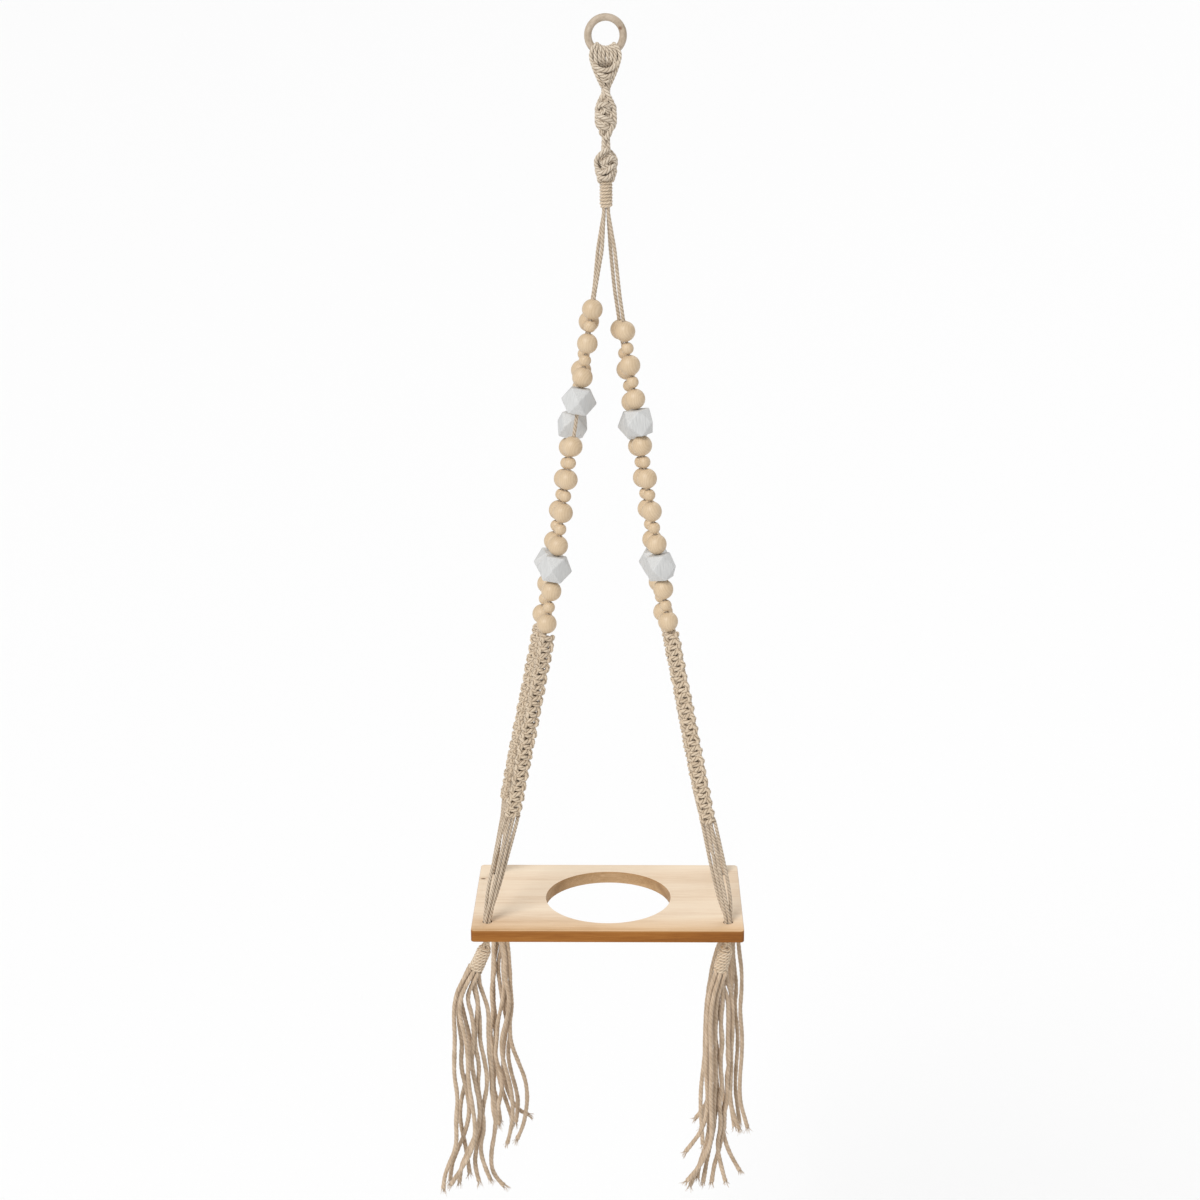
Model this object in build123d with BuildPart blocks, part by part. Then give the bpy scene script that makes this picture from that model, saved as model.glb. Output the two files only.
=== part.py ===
from build123d import *
from math import atan, cos, degrees, pi, radians, sin, sqrt, tan
import os

# Hanging macrame planter: a wooden ring, a knotted cord neck, four beaded and braided legs,
# a board with a round hole for one pot, and a tassel under each corner of the board.
#
# Frame: millimetres, +Z up, +X along the board's long side, +Y away from its front edge.
# The origin is the hook seat, the inner top point of the ring, and everything hangs below it.

# ---- driving dimensions ----
RING_OUTER_R = 20.0
RING_BAR_R = 3.5
CORD_D = 3.8                # every cord that carries the board
STRAND_D = 4.4              # a cord's end hanging slack in a tassel
WRAP_CORD_D = 2.9           # the thin cord of the gathering wraps

NECK_TOP = -59.5            # the neck flexes between the ring's hitch and this height
NECK_TURN = -113.0          # the hanger turns about Z here
NECK_GAP = 1.5              # from that height to the cords above and below it
NECK_KNOT_TURN = 40         # degrees from one knot to the next, a spiral
NECK_KNOT_THICKNESS = 12.8
WRAP_TOP = -145.0
WRAP_BOTTOM = -172.0
WRAP_TURNS = 9
WRAP_CORE_R = 5.0           # the wrap cord's centre line
PARTING = -176.0            # the strands start to part

LARGE_BEAD_R = 10.0
SMALL_BEAD_R = 6.0
FACETED_BEAD = 25.0         # between opposite square faces
BEAD_HOLE_R = 2.3
BEAD_GAP = 0.55
BEAD_START = 0.3            # the lowest bead's clearance from the braid

BRAID_WIDTH = 16.5
BRAID_THICKNESS = 9.0
BRAID_PITCH = 11.3          # about one square knot
BRAID_HOLE = (8.1, 4.3)     # the room inside for the two cords it is tied round

BOARD = (276.0, 168.0, 12.5)
BOARD_TOP = -886.0
POT_HOLE_R = 65.0
LEG_HOLE_R = 4.9
LEG_HOLE_XY = (122.5, 62.0)
HOLE_ENTRY = -884.0         # a leg's cords turn upright just above the board
BOARD_CORNER_R = 4.0
BOARD_EDGE_R = 0.8

STOPPER_R = 7.6
STOPPER_HEIGHT = 8.4
STOPPER_TOP_R = 5.5         # flat, against the board
STOPPER_FOOT_R = 3.5

TASSEL_PIVOT = -909.3       # a tassel swings sideways about this height
TASSEL_FOOT = -940.6        # the lower end of a tassel's wrap
TASSEL_WRAP_R = 7.6
TASSEL_WRAP_PITCH = 3.4
TASSEL_TOP = 2.0            # from the pivot down to the tassel's top, and that top's radius
TASSEL_TOP_R = 3.2
TASSEL_SHOULDER = 8.0       # from the pivot down to the wrap's first turn

LOOP_ARC = 100.0            # degrees of the ring that the folded cords cover
LOOP_THICKNESS = 3.3        # a folded cord, pressed on the bar
LOOP_GAP = 0.3
HITCH_WIDTH = 26.0
HITCH_THICKNESS = 12.5
HITCH_TOP = -34.8
HITCH_BOTTOM = -55.5
HITCH_FOOT_R = 4.7

MAIN_RADII = (40, 200, 200, 100, 60, 15)    # a leg's cord is pulled tight: only slight bends
FILLER_START = 1.0          # from the braid's top to the end of its second cord
FILLER_RADII = (60, 15)
WORKER_START = 1.0          # from the braid's end to the cords that tied it
WORKER_SPACING = 4.4        # from each of them to the cord next to it, there
WORKER_SWING = 3.6          # how far they stand off on their way to the hole
WORKER_RADII = (12, 15)
CORD_SPACING = 3.9          # between the two cords a braid is tied round

CLEAR = 0.15                # between pieces that only lie beside each other
KNOT_LAP = 0.2              # how far neighbouring knots of one braid run into each other
KNOT_TAPER = 7              # degrees, the sides of a knot

# ---- derived sizes ----
RING_R = RING_OUTER_R - RING_BAR_R                  # the bar's centre circle
RING_CENTRE = Vector(0, 0, RING_BAR_R - RING_R)
CORD_R = CORD_D / 2
NECK_OFFSET = CORD_R + CLEAR / 2                    # four strands in a square
NECK_HOLE_R = NECK_OFFSET * sqrt(2) + CORD_R + CLEAR
BOARD_BOTTOM = BOARD_TOP - BOARD[2]

# ---- the four legs ----
# side: which corner of the board. open: where the strands have parted under the wrap.
# bead_line: the straight stretch that carries the beads, from its top to the braid's top.
# sinnet_end: the braid's lower end. flat: how far the braid's flat side is turned about the leg,
# and twist: how much more from its top to its end, in degrees. bend: where the cords below the
# braid stand off, as a part of their way to the board. slid: how far the upper beads have slid up
# their cord. lifted: the same for the topmost bead alone, from its neighbour. faceted: how the
# two faceted beads are turned about the cord, the lower one first.
LEGS = {
    "front_left": {
        "side": (-1, -1), "open": (-3.9, -4.9, -212), "slid": 22.0, "lifted": 0.0,
        "flat": -20, "twist": 14, "bend": 0.62, "faceted": (38, 45),
        "bead_line": ((-10.6, -7.5, -250), (-61.3, -35.2, -587)),
        "sinnet_end": (-98.1, -54.6, -774),
    },
    "front_right": {
        "side": (1, -1), "open": (8.2, -5.1, -212), "slid": 0.0, "lifted": 0.0,
        "flat": 12, "twist": -12, "bend": 0.7, "faceted": (20, 8),
        "bead_line": ((13.0, -8.7, -256), (62.0, -28.0, -587)),
        "sinnet_end": (100.5, -45.2, -785),
    },
    "back_left": {
        "side": (-1, 1), "open": (-8.0, 5.1, -212), "slid": 0.0, "lifted": 16.0,
        "flat": 70, "twist": 16, "bend": 0.55, "faceted": (60, 15),
        "bead_line": ((-11.7, 8.4, -250), (-68.3, 28.5, -596)),
        "sinnet_end": (-108.5, 46.0, -794),
    },
    "back_right": {
        "side": (1, 1), "open": (4.0, 5.1, -212), "slid": 0.0, "lifted": 7.5,
        "flat": -60, "twist": -10, "bend": 0.66, "faceted": (33, 52),
        "bead_line": ((7.6, 8.3, -250), (57.8, 36.0, -596)),
        "sinnet_end": (94.5, 55.5, -794),
    },
}

# The beads of a leg from the braid upward, as bead groups: L large, s small, W white and faceted.
BEAD_GROUPS = (
    ("lower_round_beads", "LsL"),
    ("lower_faceted_bead", "W"),
    ("middle_round_beads", "LsLsLsL"),
    ("upper_faceted_bead", "W"),
    ("upper_round_beads", "LsLsL"),
)
HALF_HEIGHT = {"L": LARGE_BEAD_R, "s": SMALL_BEAD_R, "W": FACETED_BEAD / 2}

# ---- the tassels ----
# lean: how far the foot of the tassel's wrap stands out from its hole along X.
# strands: each strand's route, from the foot of the wrap to its frayed end, with x and y from
# the hole's axis and z in the model's own frame. Each strand keeps to its own depth in y.
TASSELS = {
    "front_left": {
        "lean": -15.0,
        "strands": (
            ((-20.3, -4.6, -940.5), (-28.5, -5.6, -953), (-34.3, -6.8, -970), (-36.0, -7.2, -990),
             (-35.2, -7.0, -1010), (-36.2, -7.2, -1032), (-37.2, -6.9, -1057), (-33.6, -7.1, -1081),
             (-36.3, -7.3, -1109), (-36.0, -7.2, -1138), (-44.0, -7.6, -1159), (-50.0, -7.9, -1174),
             (-51.2, -8.0, -1188)),
            ((-16.0, -4.5, -942.6), (-23.0, -7.8, -954), (-29.2, -10.4, -970), (-29.4, -11.8, -988),
             (-24.4, -12.0, -1008), (-21.8, -12.2, -1032), (-22.4, -11.8, -1058), (-18.6, -12.1, -1088),
             (-15.4, -12.3, -1114), (-18.6, -12.2, -1139), (-31.0, -12.6, -1162), (-42.0, -12.9, -1180)),
            ((-11.5, -4.6, -944.7), (-18.3, -3.0, -957), (-22.2, -2.5, -972), (-17.4, -2.3, -990),
             (-15.6, -2.2, -1014), (-19.4, -2.4, -1040), (-16.6, -2.6, -1064), (-12.0, -2.3, -1089),
             (-11.4, -2.2, -1111), (-18.0, -2.4, -1132), (-26.5, -2.6, -1151), (-33.2, -2.4, -1168),
             (-34.4, -2.3, -1183)),
            ((-18.0, 0.0, -941.6), (-24.5, 1.6, -954), (-31.0, 2.3, -972), (-32.6, 2.5, -998),
             (-28.4, 2.4, -1024), (-31.0, 2.3, -1050), (-25.8, 2.5, -1076), (-22.0, 2.4, -1101),
             (-27.0, 2.3, -1127), (-37.0, 2.5, -1150), (-43.6, 2.6, -1170), (-44.5, 2.5, -1183)),
            ((-13.9, 0.0, -943.5), (-15.0, 1.8, -957), (-10.8, 2.4, -975), (-13.6, 2.5, -1000),
             (-16.0, 2.3, -1026), (-11.0, 2.4, -1050), (-13.8, 2.5, -1074), (-10.2, 2.3, -1098),
             (-7.0, 2.4, -1122), (-12.6, 2.5, -1146), (-9.0, 2.4, -1166), (-3.0, 2.5, -1182)),
            ((-20.3, 4.6, -940.5), (-27.0, 6.2, -954), (-30.6, 7.1, -972), (-26.2, 7.3, -996),
             (-19.8, 7.2, -1026), (-21.4, 7.4, -1054), (-29.0, 7.5, -1081), (-33.8, 7.3, -1106),
             (-31.4, 7.2, -1130), (-26.8, 7.4, -1154), (-24.6, 7.5, -1178)),
            ((-16.0, 4.5, -942.6), (-17.6, 6.3, -957), (-12.4, 7.1, -976), (-9.9, 7.1, -1000),
             (-10.9, 7.3, -1024), (-5.8, 7.0, -1048), (-3.2, 7.2, -1073), (-8.4, 7.4, -1099),
             (-11.2, 7.2, -1125), (-16.6, 7.3, -1149), (-19.4, 7.2, -1170), (-14.8, 7.0, -1188)),
            ((-11.5, 4.6, -944.7), (-11.0, 8.0, -956), (-6.6, 10.4, -972), (-1.0, 11.8, -992),
             (-2.2, 12.0, -1016), (-2.0, 12.3, -1040), (0.8, 12.1, -1064), (0.2, 11.9, -1088),
             (4.6, 12.2, -1110), (2.8, 12.4, -1134), (-1.4, 12.2, -1156), (-1.8, 12.3, -1176),
             (4.4, 12.6, -1190), (11.0, 12.8, -1197)),
        ),
    },
    "front_right": {
        "lean": -7.0,
        "strands": (
            ((-12.2, -4.6, -941.7), (-16.8, -5.6, -955), (-19.4, -6.8, -974), (-20.6, -7.1, -1000),
             (-20.4, -7.3, -1026), (-21.4, -7.0, -1052), (-19.0, -7.2, -1078), (-19.8, -7.4, -1102),
             (-25.6, -7.6, -1120), (-33.8, -7.9, -1133), (-41.2, -8.2, -1143)),
            ((-7.5, -4.5, -942.7), (-12.2, -8.2, -955), (-16.0, -10.8, -972), (-17.4, -11.9, -995),
             (-16.6, -12.0, -1022), (-15.6, -12.2, -1050), (-16.4, -11.9, -1078), (-15.0, -12.1, -1104),
             (-14.8, -12.4, -1128), (-21.6, -12.5, -1149), (-31.0, -12.8, -1164), (-39.8, -13.0, -1175)),
            ((-2.7, -4.6, -943.8), (-7.6, -3.0, -957), (-11.4, -2.5, -976), (-11.8, -2.3, -1004),
             (-11.6, -2.2, -1034), (-10.6, -2.4, -1062), (-12.6, -2.5, -1088), (-11.9, -2.3, -1114),
             (-15.8, -2.4, -1137), (-24.0, -2.6, -1156), (-31.2, -2.5, -1172), (-35.8, -2.4, -1186)),
            ((-9.7, 0.0, -942.3), (-14.0, 1.6, -955), (-16.6, 2.3, -973), (-14.6, 2.5, -997),
             (-17.8, 2.4, -1022), (-13.6, 2.3, -1047), (-17.4, 2.4, -1072), (-19.6, 2.5, -1097),
             (-16.4, 2.4, -1121), (-20.4, 2.3, -1144), (-27.0, 2.5, -1165), (-28.6, 2.4, -1180)),
            ((-5.3, 0.0, -943.2), (-5.6, 1.8, -957), (-4.0, 2.4, -974), (-6.6, 2.4, -998),
             (-3.6, 2.5, -1022), (-6.4, 2.4, -1047), (-3.4, 2.3, -1070), (-7.0, 2.4, -1094),
             (-4.0, 2.5, -1117), (-8.4, 2.4, -1140), (-5.2, 2.3, -1162), (0.6, 2.5, -1184)),
            ((-12.2, 4.6, -941.7), (-12.4, 6.5, -956), (-8.4, 7.2, -973), (-9.6, 7.2, -993),
             (-12.0, 7.1, -1015), (-8.2, 7.3, -1038), (-10.8, 7.2, -1060), (-7.2, 7.4, -1086),
             (-10.4, 7.2, -1106), (-12.4, 7.3, -1130), (-17.6, 7.2, -1155), (-22.4, 7.3, -1188)),
            ((-7.5, 4.5, -942.7), (-6.4, 6.5, -956), (1.2, 7.1, -974), (2.2, 7.2, -998),
             (1.4, 7.0, -1022), (3.6, 7.3, -1046), (0.8, 7.1, -1068), (2.6, 7.4, -1090),
             (-1.8, 7.2, -1110), (-2.0, 7.3, -1130), (-6.6, 7.1, -1152), (-11.8, 7.4, -1172),
             (-13.2, 7.5, -1188)),
            ((-2.7, 4.6, -943.8), (-0.6, 8.2, -955), (5.0, 10.6, -970), (6.6, 11.8, -992),
             (6.8, 12.1, -1016), (5.2, 12.3, -1041), (6.2, 12.0, -1064), (2.0, 12.2, -1087),
             (-2.4, 12.4, -1108), (-2.6, 12.2, -1130), (2.8, 12.4, -1151), (9.6, 12.6, -1166),
             (15.6, 12.8, -1177)),
        ),
    },
    "back_left": {
        "lean": 4.5,
        "strands": (
            ((0.0, -4.6, -943.5), (2.4, -3.0, -957), (8.6, -2.5, -974), (7.2, -2.3, -998),
             (8.9, -2.2, -1020), (5.0, -2.4, -1042), (0.4, -2.6, -1062), (-0.6, -2.3, -1083),
             (-3.2, -2.2, -1104), (4.2, -2.4, -1126), (4.0, -2.6, -1146), (-1.6, -2.4, -1166),
             (-0.6, -2.3, -1186)),
            ((9.6, -4.6, -942.0), (12.0, -5.6, -955), (13.8, -6.8, -974), (15.4, -7.1, -996),
             (15.4, -7.4, -1018), (17.0, -7.2, -1040), (13.4, -7.0, -1064), (15.4, -7.3, -1086),
             (22.4, -7.6, -1106), (30.4, -7.8, -1128), (32.4, -8.0, -1150), (30.0, -7.9, -1171),
             (26.0, -7.6, -1189), (20.4, -7.4, -1201)),
            ((4.8, -4.5, -942.8), (6.8, -8.0, -956), (10.4, -11.2, -976), (10.0, -12.0, -1004),
             (15.2, -12.2, -1029), (11.6, -12.0, -1053), (4.4, -11.8, -1076), (5.6, -12.1, -1100),
             (11.2, -12.3, -1121), (15.4, -12.4, -1143), (16.4, -12.2, -1166), (14.2, -12.1, -1186),
             (9.6, -12.0, -1204)),
            ((2.6, 0.0, -943.1), (0.6, 1.8, -957), (-3.0, 2.4, -976), (-1.2, 2.5, -1000),
             (-6.4, 2.4, -1026), (-4.2, 2.3, -1050), (-8.6, 2.4, -1076), (-5.0, 2.5, -1100),
             (-9.4, 2.4, -1124), (-6.2, 2.3, -1148), (-8.0, 2.4, -1168), (-4.4, 2.5, -1184)),
            ((7.1, 0.0, -942.4), (8.2, 1.8, -956), (8.8, 2.4, -975), (12.0, 2.5, -1000),
             (8.4, 2.4, -1025), (11.2, 2.3, -1050), (14.6, 2.4, -1075), (10.4, 2.5, -1099),
             (13.4, 2.4, -1123), (19.6, 2.3, -1146), (21.8, 2.5, -1166), (18.4, 2.4, -1186)),
            ((4.8, 4.5, -942.8), (3.8, 6.3, -957), (0.2, 7.1, -978), (-4.6, 7.2, -1003),
             (-3.6, 7.3, -1030), (-5.2, 7.2, -1056), (-1.6, 7.1, -1083), (-3.6, 7.2, -1110),
             (0.4, 7.3, -1136), (6.0, 7.4, -1158), (12.6, 7.2, -1180)),
            ((9.6, 4.6, -942.0), (9.4, 6.5, -956), (5.4, 7.1, -976), (0.8, 7.2, -1000),
             (3.6, 7.0, -1024), (6.2, 7.2, -1046), (10.8, 7.4, -1067), (6.6, 7.2, -1092),
             (4.4, 7.1, -1117), (7.4, 7.3, -1143), (13.4, 7.6, -1163), (22.6, 7.9, -1176),
             (31.2, 8.2, -1180)),
            ((0.0, 4.6, -943.5), (-1.2, 8.0, -955), (-3.4, 11.4, -974), (-4.0, 11.9, -1000),
             (-5.8, 12.2, -1028), (-3.4, 12.0, -1054), (-2.0, 12.2, -1076), (-5.6, 12.4, -1100),
             (-4.2, 12.1, -1126), (-6.8, 12.3, -1148), (-1.6, 12.5, -1168), (0.2, 12.4, -1188)),
        ),
    },
    "back_right": {
        "lean": 9.0,
        "strands": (
            ((4.9, -4.6, -944.1), (1.2, -5.6, -954), (-6.0, -6.8, -970), (-11.2, -7.1, -992),
             (-15.0, -7.3, -1018), (-17.6, -7.1, -1046), (-18.2, -7.4, -1074), (-18.4, -7.2, -1102),
             (-21.6, -7.0, -1130), (-22.6, -7.3, -1156), (-21.4, -7.4, -1182), (-19.4, -7.5, -1207)),
            ((14.2, -4.6, -941.4), (16.0, -7.8, -953), (17.2, -10.6, -971), (20.4, -11.8, -993),
             (20.8, -12.1, -1016), (19.0, -12.3, -1042), (21.8, -12.0, -1068), (22.0, -12.2, -1096),
             (20.0, -12.4, -1124), (20.4, -12.5, -1150), (25.0, -12.8, -1168), (29.0, -13.0, -1182)),
            ((9.6, -4.5, -942.7), (10.4, -3.0, -955), (10.0, -2.5, -977), (11.4, -2.3, -1006),
             (9.4, -2.2, -1036), (11.6, -2.4, -1066), (8.6, -2.6, -1096), (11.4, -2.3, -1124),
             (9.8, -2.2, -1150), (13.8, -2.5, -1173), (20.6, -2.8, -1190)),
            ((7.4, 0.0, -943.4), (5.4, 1.7, -956), (-1.0, 2.4, -974), (-5.4, 2.5, -998),
             (-8.6, 2.4, -1022), (-11.0, 2.3, -1047), (-7.8, 2.4, -1072), (-12.0, 2.5, -1097),
             (-14.6, 2.4, -1122), (-12.8, 2.3, -1146), (-16.4, 2.4, -1168), (-20.4, 2.5, -1190)),
            ((11.8, 0.0, -942.1), (12.6, 1.8, -955), (9.0, 2.4, -975), (7.2, 2.5, -1000),
             (10.8, 2.4, -1026), (7.0, 2.3, -1052), (9.4, 2.4, -1078), (6.4, 2.5, -1102),
             (9.8, 2.4, -1127), (8.4, 2.3, -1151), (13.0, 2.4, -1172), (15.4, 2.5, -1190)),
            ((4.9, 4.6, -944.1), (3.2, 6.4, -956), (-1.8, 7.1, -976), (-3.0, 7.3, -1004),
             (-5.4, 7.1, -1034), (-6.6, 7.4, -1064), (-5.8, 7.2, -1094), (-8.8, 7.4, -1124),
             (-11.4, 7.2, -1152), (-17.6, 7.6, -1171), (-26.8, 8.0, -1183)),
            ((9.6, 4.5, -942.7), (8.8, 6.3, -956), (3.6, 7.1, -978), (2.4, 7.3, -1008),
             (1.8, 7.2, -1038), (-0.8, 7.4, -1068), (0.8, 7.2, -1098), (-0.8, 7.3, -1126),
             (2.6, 7.4, -1150), (5.6, 7.6, -1172), (4.6, 7.5, -1196)),
            ((14.2, 4.6, -941.4), (14.2, 7.8, -953), (11.4, 10.6, -972), (13.0, 11.8, -998),
             (16.6, 12.1, -1024), (14.4, 12.3, -1050), (18.0, 12.0, -1076), (18.6, 12.2, -1100),
             (16.8, 12.4, -1126), (16.4, 12.2, -1150), (19.2, 12.4, -1172), (21.8, 12.5, -1191)),
        ),
    },
}

os.makedirs("parts", exist_ok=True)


def save(builder, name):
    """Labels a finished piece and writes it under its own name."""
    builder.part.label = name
    export_step(builder.part, f"parts/{name}.step")


def corner_radii(points):
    """The largest tangent arc at each corner: 0.45 of the shorter run over tan(half the turn)."""
    radii = []
    for before, here, after in zip(points, points[1:], points[2:]):
        run_in = Vector(here) - Vector(before)
        run_out = Vector(after) - Vector(here)
        half_turn = radians(run_in.get_angle(run_out)) / 2
        radii.append(0.45 * min(run_in.length, run_out.length) / tan(half_turn))
    return radii


def cord(points, diameter, radii):
    """A round tube along straight runs joined by tangent arcs, and its length."""
    with BuildPart() as tube:
        with BuildLine() as route:
            FilletPolyline(*points, radius=radii)
        path = route.wires()[0]
        with BuildSketch(Plane(path @ 0, z_dir=path % 0)):
            Circle(diameter / 2)
        sweep()
    length = path.length
    expected = pi * diameter ** 2 / 4 * length
    if abs(tube.part.volume / expected - 1) > 0.01:
        print("a cord's volume isn't its section times its length:", tube.part.volume, expected)
    return tube.part, length


def across_leg(direction, turned):
    """The unit vector across a leg, nearest to +X, turned about the leg by some degrees."""
    flat = (Vector(1, 0, 0) - direction * direction.X).normalized()
    return flat.rotate(Axis((0, 0, 0), direction), turned)


def square_knot(middle, across, direction, width, thickness, pitch):
    """One knot of a braid: widest in its middle and pinched where it meets its neighbours."""
    for way in (1, -1):
        with BuildSketch(Plane(middle, x_dir=across, z_dir=direction * way)) as outline:
            SlotOverall(width, thickness)
        extrude(outline.sketch, amount=pitch / 2 + KNOT_LAP, taper=KNOT_TAPER)


def at_height(point, z):
    """The same place seen from above, at another height."""
    return Vector(point.X, point.Y, z)


def faceted_bead(centre, along, turned):
    """A cube with its corners cut to the middles of its edges, its hole between two square faces."""
    x_dir = across_leg(along, turned)
    for way in (1, -1):
        with BuildSketch(Plane(centre, x_dir=x_dir, z_dir=along * way)) as outline:
            Rectangle(FACETED_BEAD * sqrt(2), FACETED_BEAD * sqrt(2), rotation=45)
        extrude(outline.sketch, amount=FACETED_BEAD / 2, taper=degrees(atan(1 / sqrt(2))))
    with BuildSketch(Plane(centre, x_dir=x_dir, z_dir=along)) as outline:
        Rectangle(FACETED_BEAD, FACETED_BEAD)
    extrude(outline.sketch, amount=FACETED_BEAD / 2, both=True, mode=Mode.INTERSECT)


# ---- ring ----
with BuildPart() as hanging_ring:
    with BuildSketch(Plane.XY.offset(RING_CENTRE.Z)):
        with Locations((RING_R, 0)):
            Circle(RING_BAR_R)
    revolve(axis=Axis(RING_CENTRE, (0, 1, 0)))
save(hanging_ring, "hanging_ring")

# ---- the cords folded over the ring, and the hitch that gathers them ----
# The folds are a sleeve round the lower part of the bar, and can slip round the ring.
START = radians(90 - LOOP_ARC / 2)
with BuildPart() as ring_loops:
    folds_plane = Plane(RING_CENTRE, x_dir=(cos(START), 0, -sin(START)), z_dir=(sin(START), 0, cos(START)))
    with BuildSketch(folds_plane):
        with Locations((RING_R, 0)):
            Circle(RING_BAR_R + LOOP_GAP + LOOP_THICKNESS)
            Circle(RING_BAR_R + LOOP_GAP, mode=Mode.SUBTRACT)
    revolve(axis=Axis(RING_CENTRE, (0, 1, 0)), revolution_arc=LOOP_ARC)
    with BuildSketch(Plane.XY.offset(HITCH_TOP)):
        SlotOverall(HITCH_WIDTH, HITCH_THICKNESS)
    with BuildSketch(Plane.XY.offset(HITCH_BOTTOM)):
        SlotOverall(2 * HITCH_FOOT_R + 0.2, 2 * HITCH_FOOT_R)
    loft()
save(ring_loops, "ring_loops")

# ---- the four strands inside the upper knots ----
with BuildPart() as neck_cords:
    with BuildSketch(Plane.XY.offset(NECK_TOP)):
        with GridLocations(2 * NECK_OFFSET, 2 * NECK_OFFSET, 2, 2):
            Circle(CORD_R)
    extrude(amount=NECK_TURN + NECK_GAP - NECK_TOP)
save(neck_cords, "neck_cords")

# ---- the spiralling knots of the neck ----
NECK_KNOTS = {
    "upper_neck_knots": {"top": -64.0, "pitch": 11.4, "widths": (15.0, 18.4, 19.8, 15.4), "first": 10},
    "lower_neck_knots": {"top": -115.8, "pitch": 14.4, "widths": (17.0, 21.0), "first": 150},
}
for name, knots in NECK_KNOTS.items():
    with BuildPart() as neck_knots:
        for i, width in enumerate(knots["widths"]):
            middle = Vector(0, 0, knots["top"] - knots["pitch"] * (i + 0.5))
            turned = Vector(1, 0, 0).rotate(Axis.Z, knots["first"] + NECK_KNOT_TURN * i)
            square_knot(middle, turned, Vector(0, 0, -1), width, NECK_KNOT_THICKNESS, knots["pitch"])
        with Locations((0, 0, knots["top"])):
            Cylinder(NECK_HOLE_R, 2 * (NECK_TOP - WRAP_BOTTOM), mode=Mode.SUBTRACT)
    save(neck_knots, name)

# ---- the wrap where the strands part ----
WRAP_PITCH = (WRAP_TOP - WRAP_BOTTOM) / WRAP_TURNS
with BuildPart() as gathering_wrap:
    with BuildSketch(Plane.XZ):
        with Locations((0, WRAP_BOTTOM)):
            Rectangle(WRAP_CORE_R, WRAP_TOP - WRAP_BOTTOM, align=Align.MIN)
        for i in range(WRAP_TURNS):
            with Locations((WRAP_CORE_R, WRAP_TOP - WRAP_PITCH * (i + 0.5))):
                Circle(WRAP_CORD_D / 2)
        with Locations((0, WRAP_BOTTOM)):
            Rectangle(NECK_HOLE_R, WRAP_TOP - WRAP_BOTTOM, align=Align.MIN, mode=Mode.SUBTRACT)
    revolve(axis=Axis.Z)
save(gathering_wrap, "gathering_wrap")

# ---- the board ----
with BuildPart() as board:
    with Locations((0, 0, BOARD_TOP)):
        Box(*BOARD, align=(Align.CENTER, Align.CENTER, Align.MAX))
    fillet(board.edges().filter_by(Axis.Z), BOARD_CORNER_R)
    fillet(board.faces().filter_by(Axis.Z).edges(), BOARD_EDGE_R)
    with Locations((0, 0, BOARD_TOP)):
        Cylinder(POT_HOLE_R, 4 * BOARD[2], mode=Mode.SUBTRACT)
        with GridLocations(2 * LEG_HOLE_XY[0], 2 * LEG_HOLE_XY[1], 2, 2):
            Cylinder(LEG_HOLE_R, 4 * BOARD[2], mode=Mode.SUBTRACT)
save(board, "board")

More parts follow.
